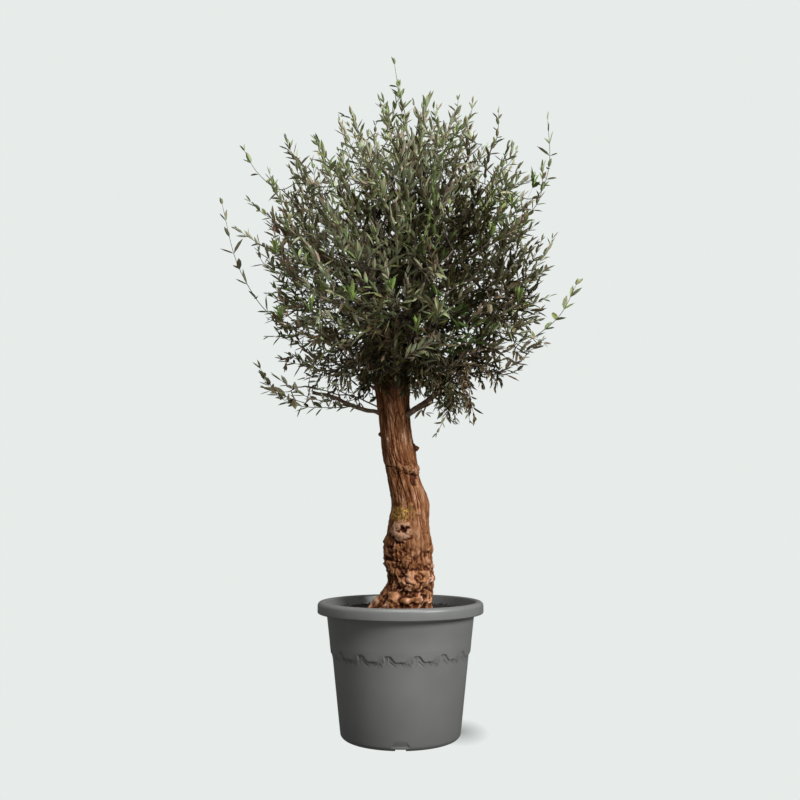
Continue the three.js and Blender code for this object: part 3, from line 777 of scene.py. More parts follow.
def add_front_lumps(relief, at):
    """Lumps of irregular outline on the trunk's front; the biggest one is lobed like a fan."""
    pushed = wandering(at.facing, at.z, 0.013, 15)
    for index, lump in enumerate(np.array(FRONT_LUMPS) / 10000):
        across, height, half_width, half_height, out = lump
        aside = (at.across - across + 0.011 * pushed[..., 0]) / half_width
        rise = (at.z - height + 0.011 * pushed[..., 1]) / half_height
        away = np.hypot(aside, rise) * (1 + 0.5 * pushed[..., 2])
        lobes = 1.0
        if index == BIG_LUMP:
            fan = 6.5 * np.arctan2(rise + 1.4, aside) + 3.0 * pushed[..., 2]
            lobes = 0.56 + 0.44 * np.abs(np.sin(fan))
        dome = np.clip(1 - away ** 2, 0, 1) ** 0.65 * at.front
        relief = relief * (1 - 0.40 * dome) + out * dome * lobes
    return relief


def add_root_wedge(relief, at):
    """The flat root that runs out at the left of the foot, and how far it covers each place."""
    height, reach = at.z - ROOT_WEDGE.height, ROOT_WEDGE.upright * (0.8 + 0.4 * at.ragged)
    wedge = bump(turn_between(at.facing, ROOT_WEDGE.facing) * at.radius / ROOT_WEDGE.across, 1.0)
    wedge = wedge * np.exp(-(np.abs(height) / reach) ** 4)
    slant = 1 - 0.55 * np.clip(height / ROOT_WEDGE.upright, 0, 1)
    return relief * (1 - 0.5 * wedge) + ROOT_WEDGE.out * slant * wedge, wedge


def add_spurs(relief, at):
    """The spurs that stand out of the outline, and how near each place is to one."""
    spurs = 0.0
    for degrees, height, out, size in SPURS:
        away = np.hypot(turn_between(at.facing, degrees) * at.radius, at.z - height)
        away = away / (size * (0.4 + 1.2 * at.ragged))
        relief = relief + out * np.clip(1 - away ** 2, 0, 1)
        spurs = np.maximum(spurs, bump(away, 1.2))
    return relief, spurs


def scar_relief(at):
    """The scar's ragged lip and the crack under it, which runs on to the left as a thin line."""
    line = SCAR.height + SCAR.slope * np.clip(at.across, -0.06, 0.04) + 0.008 * (at.ragged - 0.5)
    banded = step_up(at.across, SCAR.left_end, 0.003) * at.front
    bits = domes(trunk_skin(at.facing, at.z, 0.0050, 0.0042) + 3.0 * at.ragged[..., None], 91)
    lip = banded * bump(at.z - line, SCAR.half_height) * (0.0060 * at.ragged + 0.0050 * bits - 0.0010)
    crack = banded * bump(at.z - line + 0.0175, 0.0028) * step_up(at.ragged, 0.47, 0.05)
    thin = bump(at.z - line + 0.006, 0.0018) * step_up(at.ragged, 0.50, 0.05)
    crack += 0.8 * (at.front - banded) * thin
    return lip, np.clip(crack, 0, 1), banded * bump(at.z - line, 1.3 * SCAR.half_height)


def knob_relief(at):
    """The pruning knob, a swollen callus: how much of it there is, its relief, and its hole. Its edge
    is sharp below and at the left, and runs out softly above and at the right."""
    aside, rise = at.across - KNOB.across, at.z - KNOB.height
    wide, tall = aside / KNOB.half_width, rise / KNOB.half_height
    reach = np.hypot(wide, tall) * (1 + 0.55 * (at.ragged - 0.5))
    soft = np.clip(0.5 + (wide + tall) / 1.6, 0, 1)
    dome = 1 - step_up(reach, 0.92 + 0.10 * soft, 0.035 + 0.26 * soft)
    upper_tail = bump(aside - 0.036, 0.018) * bump(rise - 0.001 + 0.25 * aside, 0.011)
    lower_tail = 0.9 * bump(aside - 0.046, 0.018) * bump(rise + 0.045, 0.030)
    shape = KNOB.out * (1 - 0.55 * np.clip(reach, 0, 1) ** 2.5) + 0.003 * bump(reach - 0.50, 0.22)
    pit = bump(np.hypot((aside - KNOB_PIT.across) / KNOB_PIT.half_width,
                        (rise - KNOB_PIT.height) / KNOB_PIT.half_height), 1.0)
    hole = step_up(pit + 1.3 * (0.5 - at.crumbs), 0.66, 0.06)
    return dome, np.maximum(upper_tail, lower_tail), shape, hole


def trunk_places(facing, z):
    """All that the relief needs to know of each place on the trunk."""
    axis_x, axis_y, radius = trunk_axis(z)
    return Sizes(
        facing=facing, z=z, axis_x=axis_x, axis_y=axis_y, radius=radius,
        across=axis_x + radius * np.cos(facing), front=step_up(-np.sin(facing), 0.02, 0.10),
        ragged=layered_noise(trunk_skin(facing, z, 0.009, 0.008), 71, 3),
        crumbs=layered_noise(trunk_skin(facing, z, 0.0065, 0.0065), 79, 2),
    )


def trunk_relief(at):
    """How far the surface stands out of the bare trunk, with its marks: how raised it is there, lowered
    where the surface is darkened, which the bark turns into painted light and shade; how much lichen grows
    on it and how far smooth callus covers it."""
    relief = bark_texture(at)
    for degrees, *swelling in SWELLINGS:
        height, out, wide, upright = metres(swelling)
        away = turn_between(at.facing, degrees) * at.radius
        relief += out * bump(away, wide) * bump(at.z - height, upright)
    relief, wedge = add_root_wedge(add_front_lumps(relief, at), at)
    relief, spurs = add_spurs(relief, at)
    lip, crack, scar = scar_relief(at)
    hollow = at.front * step_up(oval(at, HOLLOW) * (0.4 + 1.2 * at.ragged), 0.35, 0.07)
    relief += lip - SCAR.crack_depth * crack - HOLLOW.depth * hollow

    dome, tail, shape, hole = knob_relief(at)
    dome, tail, hole = dome * at.front, np.clip(tail * at.front, 0, 1), hole * at.front
    relief = relief * (1 - dome) * (1 - 0.6 * tail) + tail * (1 - dome) * 0.006
    relief += dome * (shape + 0.0035 * (at.ragged - 0.5)) - KNOB_PIT.depth * hole * dome

    fine, broad = relief - blurred(relief, 3, 3), relief - blurred(relief, 12, 10)
    raised = np.clip(0.55 + fine / 0.0043 + broad / 0.014, 0, 1)
    # Darkened places: painted shade in the knob's hole, the crack, the hollow, the band under the step above
    # the lichen and the burr wood at the foot's front left. The spurs and the scar's band are darker too.
    dark = np.clip(np.maximum.reduce([
        0.30 * at.front * facet(at, BURR), hole * (0.55 + 0.5 * at.crumbs), 0.5 * crack, 0.32 * hollow,
        0.65 * at.front * oval(at, SHADOW), 0.85 * spurs, 0.25 * scar,
    ]), 0, 1)
    lichen = np.clip(2.2 * oval(at, LICHEN) * at.front * step_up(at.crumbs, 0.45, 0.04), 0, 0.92)
    callus = np.clip(0.9 * dome + 0.40 * tail + 0.80 * wedge, 0, 1)
    return relief, np.stack([raised * (1 - dark), lichen, callus * (1 - 0.8 * dark)], -1)


TRUNK_COLUMNS, TRUNK_ROWS, HEAD_ROWS = 230, 400, 8
HEAD_ROUNDING = 0.02            # how far under the trunk's flat head its edge starts to round


def make_trunk(material):
    lowest, highest = COMPOST_TOP - 0.012, TRUNK_TOP[2]
    heights, turn = np.linspace(lowest, highest, TRUNK_ROWS), full_turn(TRUNK_COLUMNS)
    z, facing = np.meshgrid(heights, turn, indexing="ij")
    at = trunk_places(facing, z)
    relief, marks = trunk_relief(at)
    rounding = np.clip((z - (highest - HEAD_ROUNDING)) / HEAD_ROUNDING, 0, 1)
    rounded_top = np.sqrt(1 - 0.55 * rounding ** 2)
    surface = (at.radius + relief) * rounded_top
    body = np.stack([at.axis_x + surface * np.cos(facing), at.axis_y + surface * np.sin(facing), z], -1)
    shrink = np.linspace(0.85, 0.0, HEAD_ROWS)[:, None, None]
    head_middle = np.array([at.axis_x[-1, 0], at.axis_y[-1, 0], highest])
    head = head_middle + (body[-1:] - head_middle) * shrink + UP * 0.004 * (1 - shrink ** 2)
    vertices = np.concatenate([body, head])
    parts = Parts()
    parts.add(vertices, grid_triangles(len(vertices), TRUNK_COLUMNS))
    trunk = parts.build("trunk_bark", [material])
    head_marks = np.zeros((len(head), TRUNK_COLUMNS, 3)) + (0.5, 0, 0)
    paint(trunk, "marks", np.concatenate([marks, head_marks]))
    return trunk


# ---- Boughs ----


def curved(start, bend, end, rows):
    """A quadratic Bezier curve as points."""
    t = np.linspace(0, 1, rows)[:, None]
    return (1 - t) ** 2 * start + 2 * t * (1 - t) * bend + t * t * end


def reaches(points):
    """How far along a route each of its points lies."""
    return np.concatenate([[0], np.cumsum(np.linalg.norm(np.diff(points, axis=0), axis=1))])


def sampled(places, reach, values):
    """What the values at a route's points come to at other places along it."""
    return np.stack([np.interp(places, reach, column) for column in values.T], -1)


def smooth_route(points, rows):
    """A Catmull-Rom curve through a few points, resampled evenly."""
    points = np.asarray(points, float)
    knots = np.concatenate([2 * points[:1] - points[1:2], points, 2 * points[-1:] - points[-2:-1]])
    steps = np.linspace(0, 1, 16, endpoint=False)[:, None]
    pieces = []
    for a, b, c, d in zip(knots[:-3], knots[1:-2], knots[2:-1], knots[3:]):
        pieces.append(0.5 * (2 * b + (c - a) * steps + (2 * a - 5 * b + 4 * c - d) * steps ** 2
                             + (3 * b - a - 3 * c + d) * steps ** 3))
    fine = np.concatenate([*pieces, points[-1:]])
    reach = reaches(fine)
    return sampled(np.linspace(0, reach[-1], rows), reach, fine)


BOUGH_ROWS, BOUGH_SIDES = 41, 14
BOUGH_WANDER = 0.018            # how far the thick boughs bend out of line
BOUGH_BEND = 0.42               # how far along its length a bough bends to its end
BOUGH_ROOT, HEAD_ROOT = 0.035, 0.02     # how deep boughs start in the trunk's side and in its top
# Those that stand in the light, and so get the bough bark with painted light; the others get its darker copy
# with painted shade.
OPEN_BOUGHS = ("pruned", "lower_left", "low_left_spray", "lower_right")
# How thick some boughs are, as a share of the solids'.
BOUGH_THICKNESS = {
    "pruned": 0.62, "lower_left": 0.50, "low_left_spray": 0.38, "lower_front": 0.50, "lower_right": 0.85,
    "upper_front_left": 0.55, "upper_front_right": 0.55, "front_left": 0.65, "front_right": 0.65,
}


def bough_path(bough, end, paths):
    origin, facing, place, _, _ = bough
    facing = math.radians(facing)
    outward = np.array([math.cos(facing), math.sin(facing), 0.0])
    if origin == "trunk_top":
        start = TRUNK_TOP + outward * place - UP * HEAD_ROOT
        heading = UP
    elif origin == "trunk":
        axis_x, axis_y, radius = (float(value) for value in trunk_axis(place))
        start = np.array([axis_x, axis_y, place]) + outward * (radius - BOUGH_ROOT)
        heading = unit(outward + 0.45 * UP)
    else:
        parent = paths[origin]
        row = round(place * (BOUGH_ROWS - 1))
        start = parent[row]
        heading = unit(unit(end - start) + unit(parent[row + 1] - parent[row - 1]))
    bend = start + heading * np.linalg.norm(end - start) * BOUGH_BEND
    return smooth_route(curved(start, bend, end, 24), BOUGH_ROWS)


def bough_paths():
    paths = {}
    for name, (middle, half, bough) in MASSES.items():
        parent = paths.get(bough[0])
        origin = TRUNK_TOP if parent is None else parent[round(bough[2] * (BOUGH_ROWS - 1))]
        end = middle - 0.4 * min(half) * unit(middle - origin)
        paths[name] = bough_path(bough, end, paths)
    paths["pruned"] = bough_path(PRUNED_BOUGH, np.array(PRUNED_END), paths)
    return paths


def bough_rings(index, path, first, last, thickness):
    """A tapering limb with a swollen foot, knots and slight bends: its line and its rings."""
    share = np.linspace(0, 1, BOUGH_ROWS)
    radii = (first + (last - first) * share) * thickness * (1 + 0.35 * np.exp(-share / 0.05))
    places = [np.stack([share * 7, 0 * share + index, 0 * share + axis], -1) for axis in range(3)]
    wander = np.stack([value_noise(place, 5) for place in places], -1) - 0.5
    settled = np.sin(share * math.pi)[:, None]
    route = path + wander * BOUGH_WANDER * settled * min(1.0, first / 0.012)
    rings = tube_rings(route[None], radii[None], BOUGH_SIDES)[0]
    rough = layered_noise(rings * 55, 17, 3) - 0.5
    return route, route[:, None] + (rings - route[:, None]) * (1 + 0.45 * rough[..., None])


def make_boughs(paths, materials):
    """Every bough, with one of three materials: bark with painted light, the pruned one's cut end, or bark
    with painted shade.
    """
    parts, triangles = Parts(), tube_triangles(BOUGH_ROWS, BOUGH_SIDES)
    for index, (name, path) in enumerate(paths.items()):
        first, last = (PRUNED_BOUGH if name == "pruned" else MASSES[name][2])[3:]
        route, rings = bough_rings(index, path, first, last, BOUGH_THICKNESS.get(name, 1.0))
        slots = np.full(len(triangles), 0 if name in OPEN_BOUGHS else 2)
        if name == "pruned":
            slots[-BOUGH_SIDES:] = 1
        parts.add(np.concatenate([rings.reshape(-1, 3), route[[0, -1]]]), triangles, slots)
    return parts.build("boughs", materials)


# ---- Foliage ----

# The crown's reach at each height, to the left and right as seen from the front, in millimetres.
CROWN_PROFILE = metres([
    (1050, -100, 280),
    (1120, -320, 350),
    (1200, -420, 415),
    (1330, -420, 472),
    (1460, -430, 470),
    (1600, -415, 426),
    (1730, -402, 420),
    (1800, -345, 395),
    (1860, -254, 296),
    (1910, -178, 238),
    (1960, -120, 168),
    (2000, -90, 100),
    (2045, -35, 30),
    (2080, -5, 5),
])
CROWN_DEPTH_SHARE = 0.95        # how deep the crown is from front to back, for its width
OPEN_BELOW = 1.12               # below this height only the masses' own spaces hold leaves
SPACE_EDGE = 1.45               # how far into the gaps between the masses their shoots reach

BRANCHES_PER_MASS = 9
SHOOTS_PER_LITRE = 3.3
THIN_ABOVE = 1.76               # above this height some of the outermost shoots are left out
THINNED = Sizes(left=0.60, right=0.34)
SPARSE_MASSES = {"low_left_spray": 0.38, "low_right_spray": 0.55, "lower_left": 0.75}
TWIG_SAG = 0.16
# How steeply shoots grow at some heights, and how far those at the lower right droop.
STEEP = Sizes(heights=(0.95, 1.15, 1.35, 1.60, 1.90), upward=(0.10, 0.25, 0.85, 1.70, 3.00))
DROOP = Sizes(right_of=0.05, heights=(1.00, 1.22), downward=(0.75, 0.0))
SHOOT_ROWS = 9
BEARING_LENGTH = 0.27
PAIR_SPACING = 0.0210
LEAVES_MISSING = 0.10
LEAF_LENGTH = 0.044
LEAF_WIDTH = 0.0112
# The first and last radius of each kind of wood.
STEM_RADII, BRANCH_RADII, SHOOT_RADII = (0.0042, 0.0024), (0.0024, 0.0009), (0.0016, 0.0007)
WHIP_RADIUS, TUFT_RADIUS, DROOPING_RADIUS, STICK_RADII = 0.0017, 0.0006, 0.0012, (0.0030, 0.0022)

# How each leaf kind is coloured: the upper face and the lower one.
LEAF_KINDS = {
    "dark": ((0.073, 0.069, 0.023), (0.178, 0.168, 0.094)),
    "grey": ((0.200, 0.202, 0.106), (0.392, 0.388, 0.256)),
    "olive": ((0.168, 0.192, 0.066), (0.278, 0.302, 0.160)),
    "fresh": ((0.100, 0.148, 0.028), (0.144, 0.194, 0.050)),
    "deep": ((0.032, 0.068, 0.010), (0.062, 0.098, 0.018)),
    # The shade kind is painted shade: near-black leaves for the sprays deep in the crown, round the trunk's
    # head and in its dusky parts.
    "shade": ((0.030, 0.026, 0.006), (0.062, 0.053, 0.017)),
    "green": ((0.066, 0.090, 0.018), (0.142, 0.178, 0.060)),
    "brown": ((0.096, 0.068, 0.031), (0.225, 0.166, 0.102)),
}

# Shoots placed one by one: the points up to the tip in millimetres, and the kind of leaf.
LEADERS = [
    ([(-300, -60, 1740), (-350, -70, 1790), (-365, -70, 1850)], "grey"),
    ([(-360, -40, 1640), (-400, -40, 1670), (-420, -50, 1735)], "olive"),
    ([(-380, 0, 1580), (-440, -10, 1610), (-490, -20, 1655)], "olive"),
    ([(-385, 0, 1480), (-450, -10, 1510), (-530, -20, 1560)], "grey"),
    ([(-380, -50, 1400), (-430, -70, 1430), (-450, -80, 1490)], "grey"),
    ([(150, -20, 1880), (180, -30, 1940), (190, -30, 2000)], "olive"),
    ([(180, -20, 1880), (225, -30, 1930), (237, -30, 1990)], "olive"),
    ([(270, -40, 1780), (310, -50, 1850), (318, -50, 1945)], "olive"),
    ([(-120, -40, 1850), (-150, -50, 1910), (-185, -50, 1930)], "fresh"),
    ([(400, -60, 1580), (440, -80, 1640), (452, -80, 1750)], "olive"),
    ([(400, -60, 1430), (450, -80, 1450), (478, -80, 1510)], "grey"),
    ([(350, -60, 1150), (400, -80, 1150), (440, -80, 1185)], "dark"),
    ([(-120, -55, 985), (-250, -55, 975), (-340, -50, 990), (-400, -50, 1035),
      (-440, -50, 1095)], "dark"),
    ([(-220, -50, 995), (-300, -50, 1015), (-390, -50, 1075)], "grey"),
]
LEADER_LEAVES = (0.88, 1.20, 21)        # size, how broad, and millimetres between the pairs
TUFT_HEIGHT, TUFT_SPACING = 0.034, 0.0085     # how much of a tuft bears leaves, and how densely
# Short upright tufts of young leaves on the crown's front, in millimetres.
TUFTS = [
    (-361, -248, 1422, "fresh"),
    (-287, -312, 1370, "olive"),
    (-117, -387, 1357, "olive"),
    (-133, -383, 1248, "fresh"),
    (-246, -338, 1226, "fresh"),
    (-23, -399, 1264, "fresh"),
    (44, -398, 1150, "fresh"),
    (101, -390, 1199, "olive"),
    (256, -332, 1439, "fresh"),
    (339, -270, 1268, "fresh"),
    (319, -288, 1542, "fresh"),
    (399, -199, 1646, "fresh"),
    (-48, -398, 1536, "olive"),
    (-350, -200, 1235, "fresh"),
    (330, -260, 1480, "fresh"),
    (300, -280, 1620, "olive"),
    (-330, -240, 1500, "olive"),
    (-180, -340, 1620, "olive"),
    (120, -330, 1700, "olive"),
    (74, -228, 1878, "olive"),
]
# Drooping shoots in front of the trunk's head, and those that hang at the lower right: how many,
# the range of their tips across, front to back and upright in millimetres, their leaves' size, and
# their kinds.
DROOPING = [
    # The shoots in front of the trunk's head bear mostly leaves of painted shade.
    (80, (-130, 95), (-200, -60), (1005, 1140), 0.80, ("shade", "shade", "shade", "shade", "brown")),
    (14, (-300, -70), (-120, 30), (1010, 1110), 0.70, ("brown", "grey", "dark")),
    (20, (70, 210), (-160, -20), (965, 1060), 0.60, ("brown", "dark", "shade")),
    (20, (115, 215), (-130, -50), (930, 1010), 0.55, ("brown", "grey", "dark")),
    (10, (180, 320), (-130, 20), (1010, 1080), 0.75, ("brown", "shade")),
]
STICK_KNOT = 0.0016              # how far the bare cut stick swells near its end
CUT_STICK = metres([(180, -40, 1080), (260, -55, 1085), (326, -60, 1086)])


def crown_depth(points):
    """How far out each point lies in the crown as a whole: 0 on its line and 1 at its outline."""
    z = points[..., 2]
    left = np.interp(z, CROWN_PROFILE[:, 0], -CROWN_PROFILE[:, 1])
    right = np.interp(z, CROWN_PROFILE[:, 0], CROWN_PROFILE[:, 2])
    across = points[..., 0] / np.where(points[..., 0] < 0, left, right)
    back = points[..., 1] / ((left + right) / 2 * CROWN_DEPTH_SHARE)
    outside = (z < CROWN_PROFILE[0, 0]) | (z > CROWN_PROFILE[-1, 0])
    return np.hypot(across, back) + 9.0 * outside


def mass_depths(points):
    """How deep each point lies in each mass: 0 at its middle and 1 at its edge."""
    return np.stack([np.linalg.norm((points - middle) / half, axis=-1)
                     for middle, half, _ in MASSES.values()], -1)


def in_space(points, name):
    """Which points a mass's shoots may reach: nearer to it than to any other, and in the crown."""
    depths = mass_depths(points)
    own = depths[:, list(MASSES).index(name)]
    nearest = own <= depths.min(axis=-1)
    in_crown = (crown_depth(points) < 1) & (points[:, 2] > OPEN_BELOW) & (own < SPACE_EDGE)
    return nearest & (in_crown | ((own < 1) & (points[:, 2] < OPEN_BELOW + 0.1)))


TARGETS_DRAWN = 14000           # how many places are drawn in a mass's box
TARGETS_IN_SPACE = 3400         # how many of them fall in the space of a mass with the full count


def draw_targets(name, count, random):
    """Places spread evenly through a mass's space: each is the furthest from those before it."""
    middle, half, _ = MASSES[name]
    drawn = middle + (random.random((TARGETS_DRAWN, 3)) * 2 - 1) * half * SPACE_EDGE
    drawn = drawn[in_space(drawn, name)]
    count = max(3, round(count * len(drawn) / TARGETS_IN_SPACE))
    kept = [drawn[0]]
    room = np.linalg.norm(drawn - kept[0], axis=1)
    while len(kept) < min(count, len(drawn)):
        kept.append(drawn[np.argmax(room * (0.75 + 0.5 * random.random(len(room))))])
        room = np.minimum(room, np.linalg.norm(drawn - kept[-1], axis=1))
    return np.array(kept)


def twig_curve(start, target, rows):
    """A branch sags a little and then bends up to its target."""
    bend = (start + target) / 2 - UP * np.linalg.norm(target - start) * TWIG_SAG
    return curved(start, bend, target, rows)


def shoot_heading(tip, random):
    """Which way a shoot grows at its tip: up near the top, outward lower down, and drooping where
    the crown hangs at the lower right."""
    outward = unit(np.array([tip[0], tip[1], 0.0]))
    steep = np.interp(tip[2], STEEP.heights, STEEP.upward)
    droop = (tip[0] > DROOP.right_of) * np.interp(tip[2], DROOP.heights, DROOP.downward)
    return unit(outward + UP * (steep - droop) + 0.85 * (random.random(3) - 0.5) * 2)


def nearest_wood(wood, point):
    return wood[np.argmin(np.linalg.norm(np.array(wood) - point, axis=1))]


def grow_branches(name, path, random):
    """The thick wood of one mass: its stem and its branches, each with its first and last radius,
    and the points that shoots can start from."""
    middle = MASSES[name][0]
    heading = unit(path[-1] - path[-2])
    stem_end = path[-1] + heading * np.linalg.norm(middle - path[-1]) * 1.15
    stem = curved(path[-1] - heading * 0.004, (path[-1] + stem_end) / 2, stem_end, 8)
    wood = [*path[-22::3], *stem[1:]]
    branches = [(stem, STEM_RADII)]
    targets = middle + (draw_targets(name, BRANCHES_PER_MASS, random) - middle) * 0.62
    for target in targets[np.argsort(np.linalg.norm(targets - path[-1], axis=1))]:
        branch = twig_curve(nearest_wood(wood, target), target, 8)
        branches.append((branch, BRANCH_RADII))
        wood.extend(branch[2:])
    return branches, np.array(wood)


def grow_shoots(name, wood, random):
    """The shoots of one mass that bear leaves. They are thinned out at the crown's upper edge."""
    litres = 4 / 3 * math.pi * np.prod(MASSES[name][1] * 10) * SPARSE_MASSES.get(name, 1.0)
    shoots = []
    for target in draw_targets(name, litres * SHOOTS_PER_LITRE, random):
        outer = target[2] > THIN_ABOVE and crown_depth(target) > 0.55
        if outer and random.random() < (THINNED.left if target[0] < 0 else THINNED.right):
            continue
        ahead = shoot_heading(target, random)
        foot = target - ahead * (0.10 + 0.10 * random.random())
        too_high = np.maximum(wood[:, 2] - target[2], 0)
        start = wood[np.argmin(np.linalg.norm(wood - foot, axis=1) + 0.5 * too_high)]
        bend = target - ahead * np.linalg.norm(target - start) * 0.6
        shoots.append(curved(start, bend, target, SHOOT_ROWS))
        if len(shoots) % 3 == 0:
            wood = np.concatenate([wood, shoots[-1][3:6]])
    return shoots


# A leaf's corners: the base and the tip, and then at two places along it the left and right edge and
# the midrib above and below. Each has its share of the length, its place aside and its lift.
LEAF_CORNERS = np.array([
    (0, 0, 0), (1, 0, 0),
    (0.30, -0.92, 0.16 * 0.92), (0.30, 0.92, 0.16 * 0.92), (0.30, 0, 0), (0.30, 0, -0.10),
    (0.66, -0.90, 0.16 * 0.90), (0.66, 0.90, 0.16 * 0.90), (0.66, 0, 0), (0.66, 0, -0.10),
])
UPPER_TRIANGLES = [
    (0, 3, 4), (0, 4, 2), (4, 3, 7), (4, 7, 8), (2, 4, 8), (2, 8, 6), (8, 7, 1), (6, 8, 1),
]


def leaf_vertices(root, along, normal, length, width, curl):
    """Leaves as arrays of 10 corners: a lance shape folded at the midrib, arched and thin."""
    share, aside, lift = LEAF_CORNERS.T
    length, width, curl = length[:, None], width[:, None], curl[:, None]
    beside = unit(np.cross(along, normal))[:, None] * (aside * width / 2)[..., None]
    rise = normal[:, None] * (lift * width - curl * share ** 2 * length)[..., None]
    return root[:, None] + along[:, None] * (share * length)[..., None] + beside + rise


def leaf_faces():
    """The upper and the lower triangles of a leaf, and which are which. The lower ones are turned
    over, and have the lower midrib."""
    upper = np.array(UPPER_TRIANGLES)
    lower = np.where(np.isin(upper, (4, 8)), upper + 1, upper)[:, ::-1]
    return np.concatenate([upper, lower]), np.repeat([0, 1], len(upper))


def leaves_on(path, spacing, size, random, bearing=BEARING_LENGTH, broad=1.0):
    """Opposite pairs of leaves back from a shoot's tip, each pair turned across the one before it:
    upright and small at the tip, and leaning further out lower down."""
    reach = reaches(path)
    places = np.arange(reach[-1], max(reach[-1] - bearing, reach[-1] * 0.12), -spacing)
    nodes = sampled(places, reach, path)
    ahead = unit(sampled(places, reach, unit(np.gradient(path, axis=0))))
    first = unit(np.cross(ahead, UP + 0.3 * (random.random(3) - 0.5)))
    second = np.cross(ahead, first)
    count = len(places)
    turn = np.arange(count) * math.pi / 2 + random.random() * math.pi + (random.random(count) - 0.5) * 1.1
    age = np.clip(np.arange(count) / 2.5, 0, 1)
    sides = []
    for flip in (0, math.pi):
        away = first * np.cos(turn + flip)[:, None] + second * np.sin(turn + flip)[:, None]
        lean = np.radians(15 + 25 * age + 60 * (random.random(count) - 0.5) * (0.4 + 0.6 * age))
        along = unit(ahead * np.cos(lean)[:, None] + away * np.sin(lean)[:, None])
        wanted = unit(ahead * 0.8 + UP * 0.6 + 0.7 * (random.random((count, 3)) - 0.5))
        normal = unit(wanted - along * np.sum(wanted * along, -1, keepdims=True))
        length = size * LEAF_LENGTH * (0.66 + 0.34 * age) * (0.66 + 0.57 * random.random(count))
        width = size * broad * LEAF_WIDTH * (0.70 + 0.30 * age) * (0.8 + 0.4 * random.random(count))
        sides.append((nodes, along, normal, length, width, 0.12 * (random.random(count) - 0.25)))
    kept = random.random(2 * count) > LEAVES_MISSING
    kept[:1] = True
    return [np.concatenate(pair)[kept] for pair in zip(*sides)]


# Patches of deep green leaves on the crown's front: their middle across and upright, and their size.
DEEP_PATCHES = [(0.215, 1.200, 0.075), (0.235, 1.475, 0.055)]
# Parts of the crown's front where the leaves are darker, as painted shade, or paler, as painted light: their
# middle across and upright, their size, and by how much.
DUSKY = [(0.250, 1.420, 0.21, 1.00)]
PALE = [(-0.170, 1.790, 0.19, 0.34), (-0.070, 1.290, 0.20, 0.48), (0.130, 1.140, 0.11, 0.36)]
# Parts of the crown where dark leaves are green: across, upright, size, and how many of them.
GREEN = [(0.310, 1.730, 0.15, 0.80), (0.190, 1.500, 0.11, 0.80), (-0.400, 1.320, 0.13, 0.75)]
# The heights between which dark leaves turn from mostly brown to few brown ones.
BROWN = Sizes(heights=(1.12, 1.42), shares=(0.80, 0.12))
# How pale the leaves are at some heights.
PALENESS = Sizes(heights=(1.00, 1.35, 1.60, 1.95), shares=(0.06, 0.24, 0.60, 0.95))
SHADE_BELOW = 1.80              # above this height no spray is of the shaded kind
LOWEST_SPRAYS = 1.09            # below this height the sprays are grey, dark or shaded
FRESH_SHARE = 0.015


def within(tip, patches):
    """How far a spray belongs to the parts listed."""
    return sum(by * bump(tip[0] - across, size) * bump(tip[2] - height, size)
               for across, height, size, by in patches)


def dark_kind(tip, random):
    """Dark leaves are brown low in the crown, and green in some parts of it."""
    draw, green = random.random(), within(tip, GREEN)
    if draw < green:
        return "green"
    return "brown" if draw < green + np.interp(tip[2], BROWN.heights, BROWN.shares) else "dark"


def spray_kind(tip, random):
    """Which kind of leaf a spray bears: the brown-green shade kind, which is painted shade, deep inside, and
    paler towards the top.
    """
    depth, height = float(crown_depth(tip)), (tip[2] - 0.95) / 1.1
    # Sprays near the trunk's head are shaded more, as painted shade.
    near_head = bump(tip[0] + 0.03, 0.11) * bump(tip[2] - 1.10, 0.12)
    shaded = 0.42 + 0.30 * random.random() + 0.12 * (height < 0.35) + 0.8 * near_head
    shaded += (0.20 + 0.75 * random.random()) * within(tip, DUSKY) - 0.7 * within(tip, PALE)
    if depth < shaded and tip[2] < SHADE_BELOW:
        return "shade"
    for across, upright, size in DEEP_PATCHES:
        if tip[1] < -0.1 and math.hypot(tip[0] - across, tip[2] - upright) < size:
            return "deep"
    paleness = np.interp(tip[2], PALENESS.heights, PALENESS.shares)
    # The pale parts add painted light, and the dusky parts and the far left take it away as painted shade.
    paleness += within(tip, PALE) - within(tip, DUSKY) - 0.45 * np.clip(-(tip[0] + 0.27) / 0.13, 0, 1)
    if tip[2] < LOWEST_SPRAYS and tip[0] < -0.12:
        return "grey" if random.random() < 0.35 else dark_kind(tip, random)
    # Low sprays, and those in front of the trunk's head, get dark leaves or painted shade.
    if tip[2] < LOWEST_SPRAYS or (tip[2] < 1.22 and abs(tip[0] + 0.04) < 0.11):
        return dark_kind(tip, random) if random.random() < 0.6 else "shade"
    draw = random.random()
    if draw < FRESH_SHARE:
        return "fresh"
    if draw < 0.06 + 0.24 * max(paleness, 0):
        return "olive"
    return "grey" if random.random() < 0.08 + 0.85 * paleness else dark_kind(tip, random)


def add_shoot(path, thickness, kind, leaves, wood_parts, leaf_sets):
    add_tubes(wood_parts, path[None], np.linspace(thickness, 0.4 * thickness, len(path))[None], 5)
    leaf_sets[kind].append(leaves)


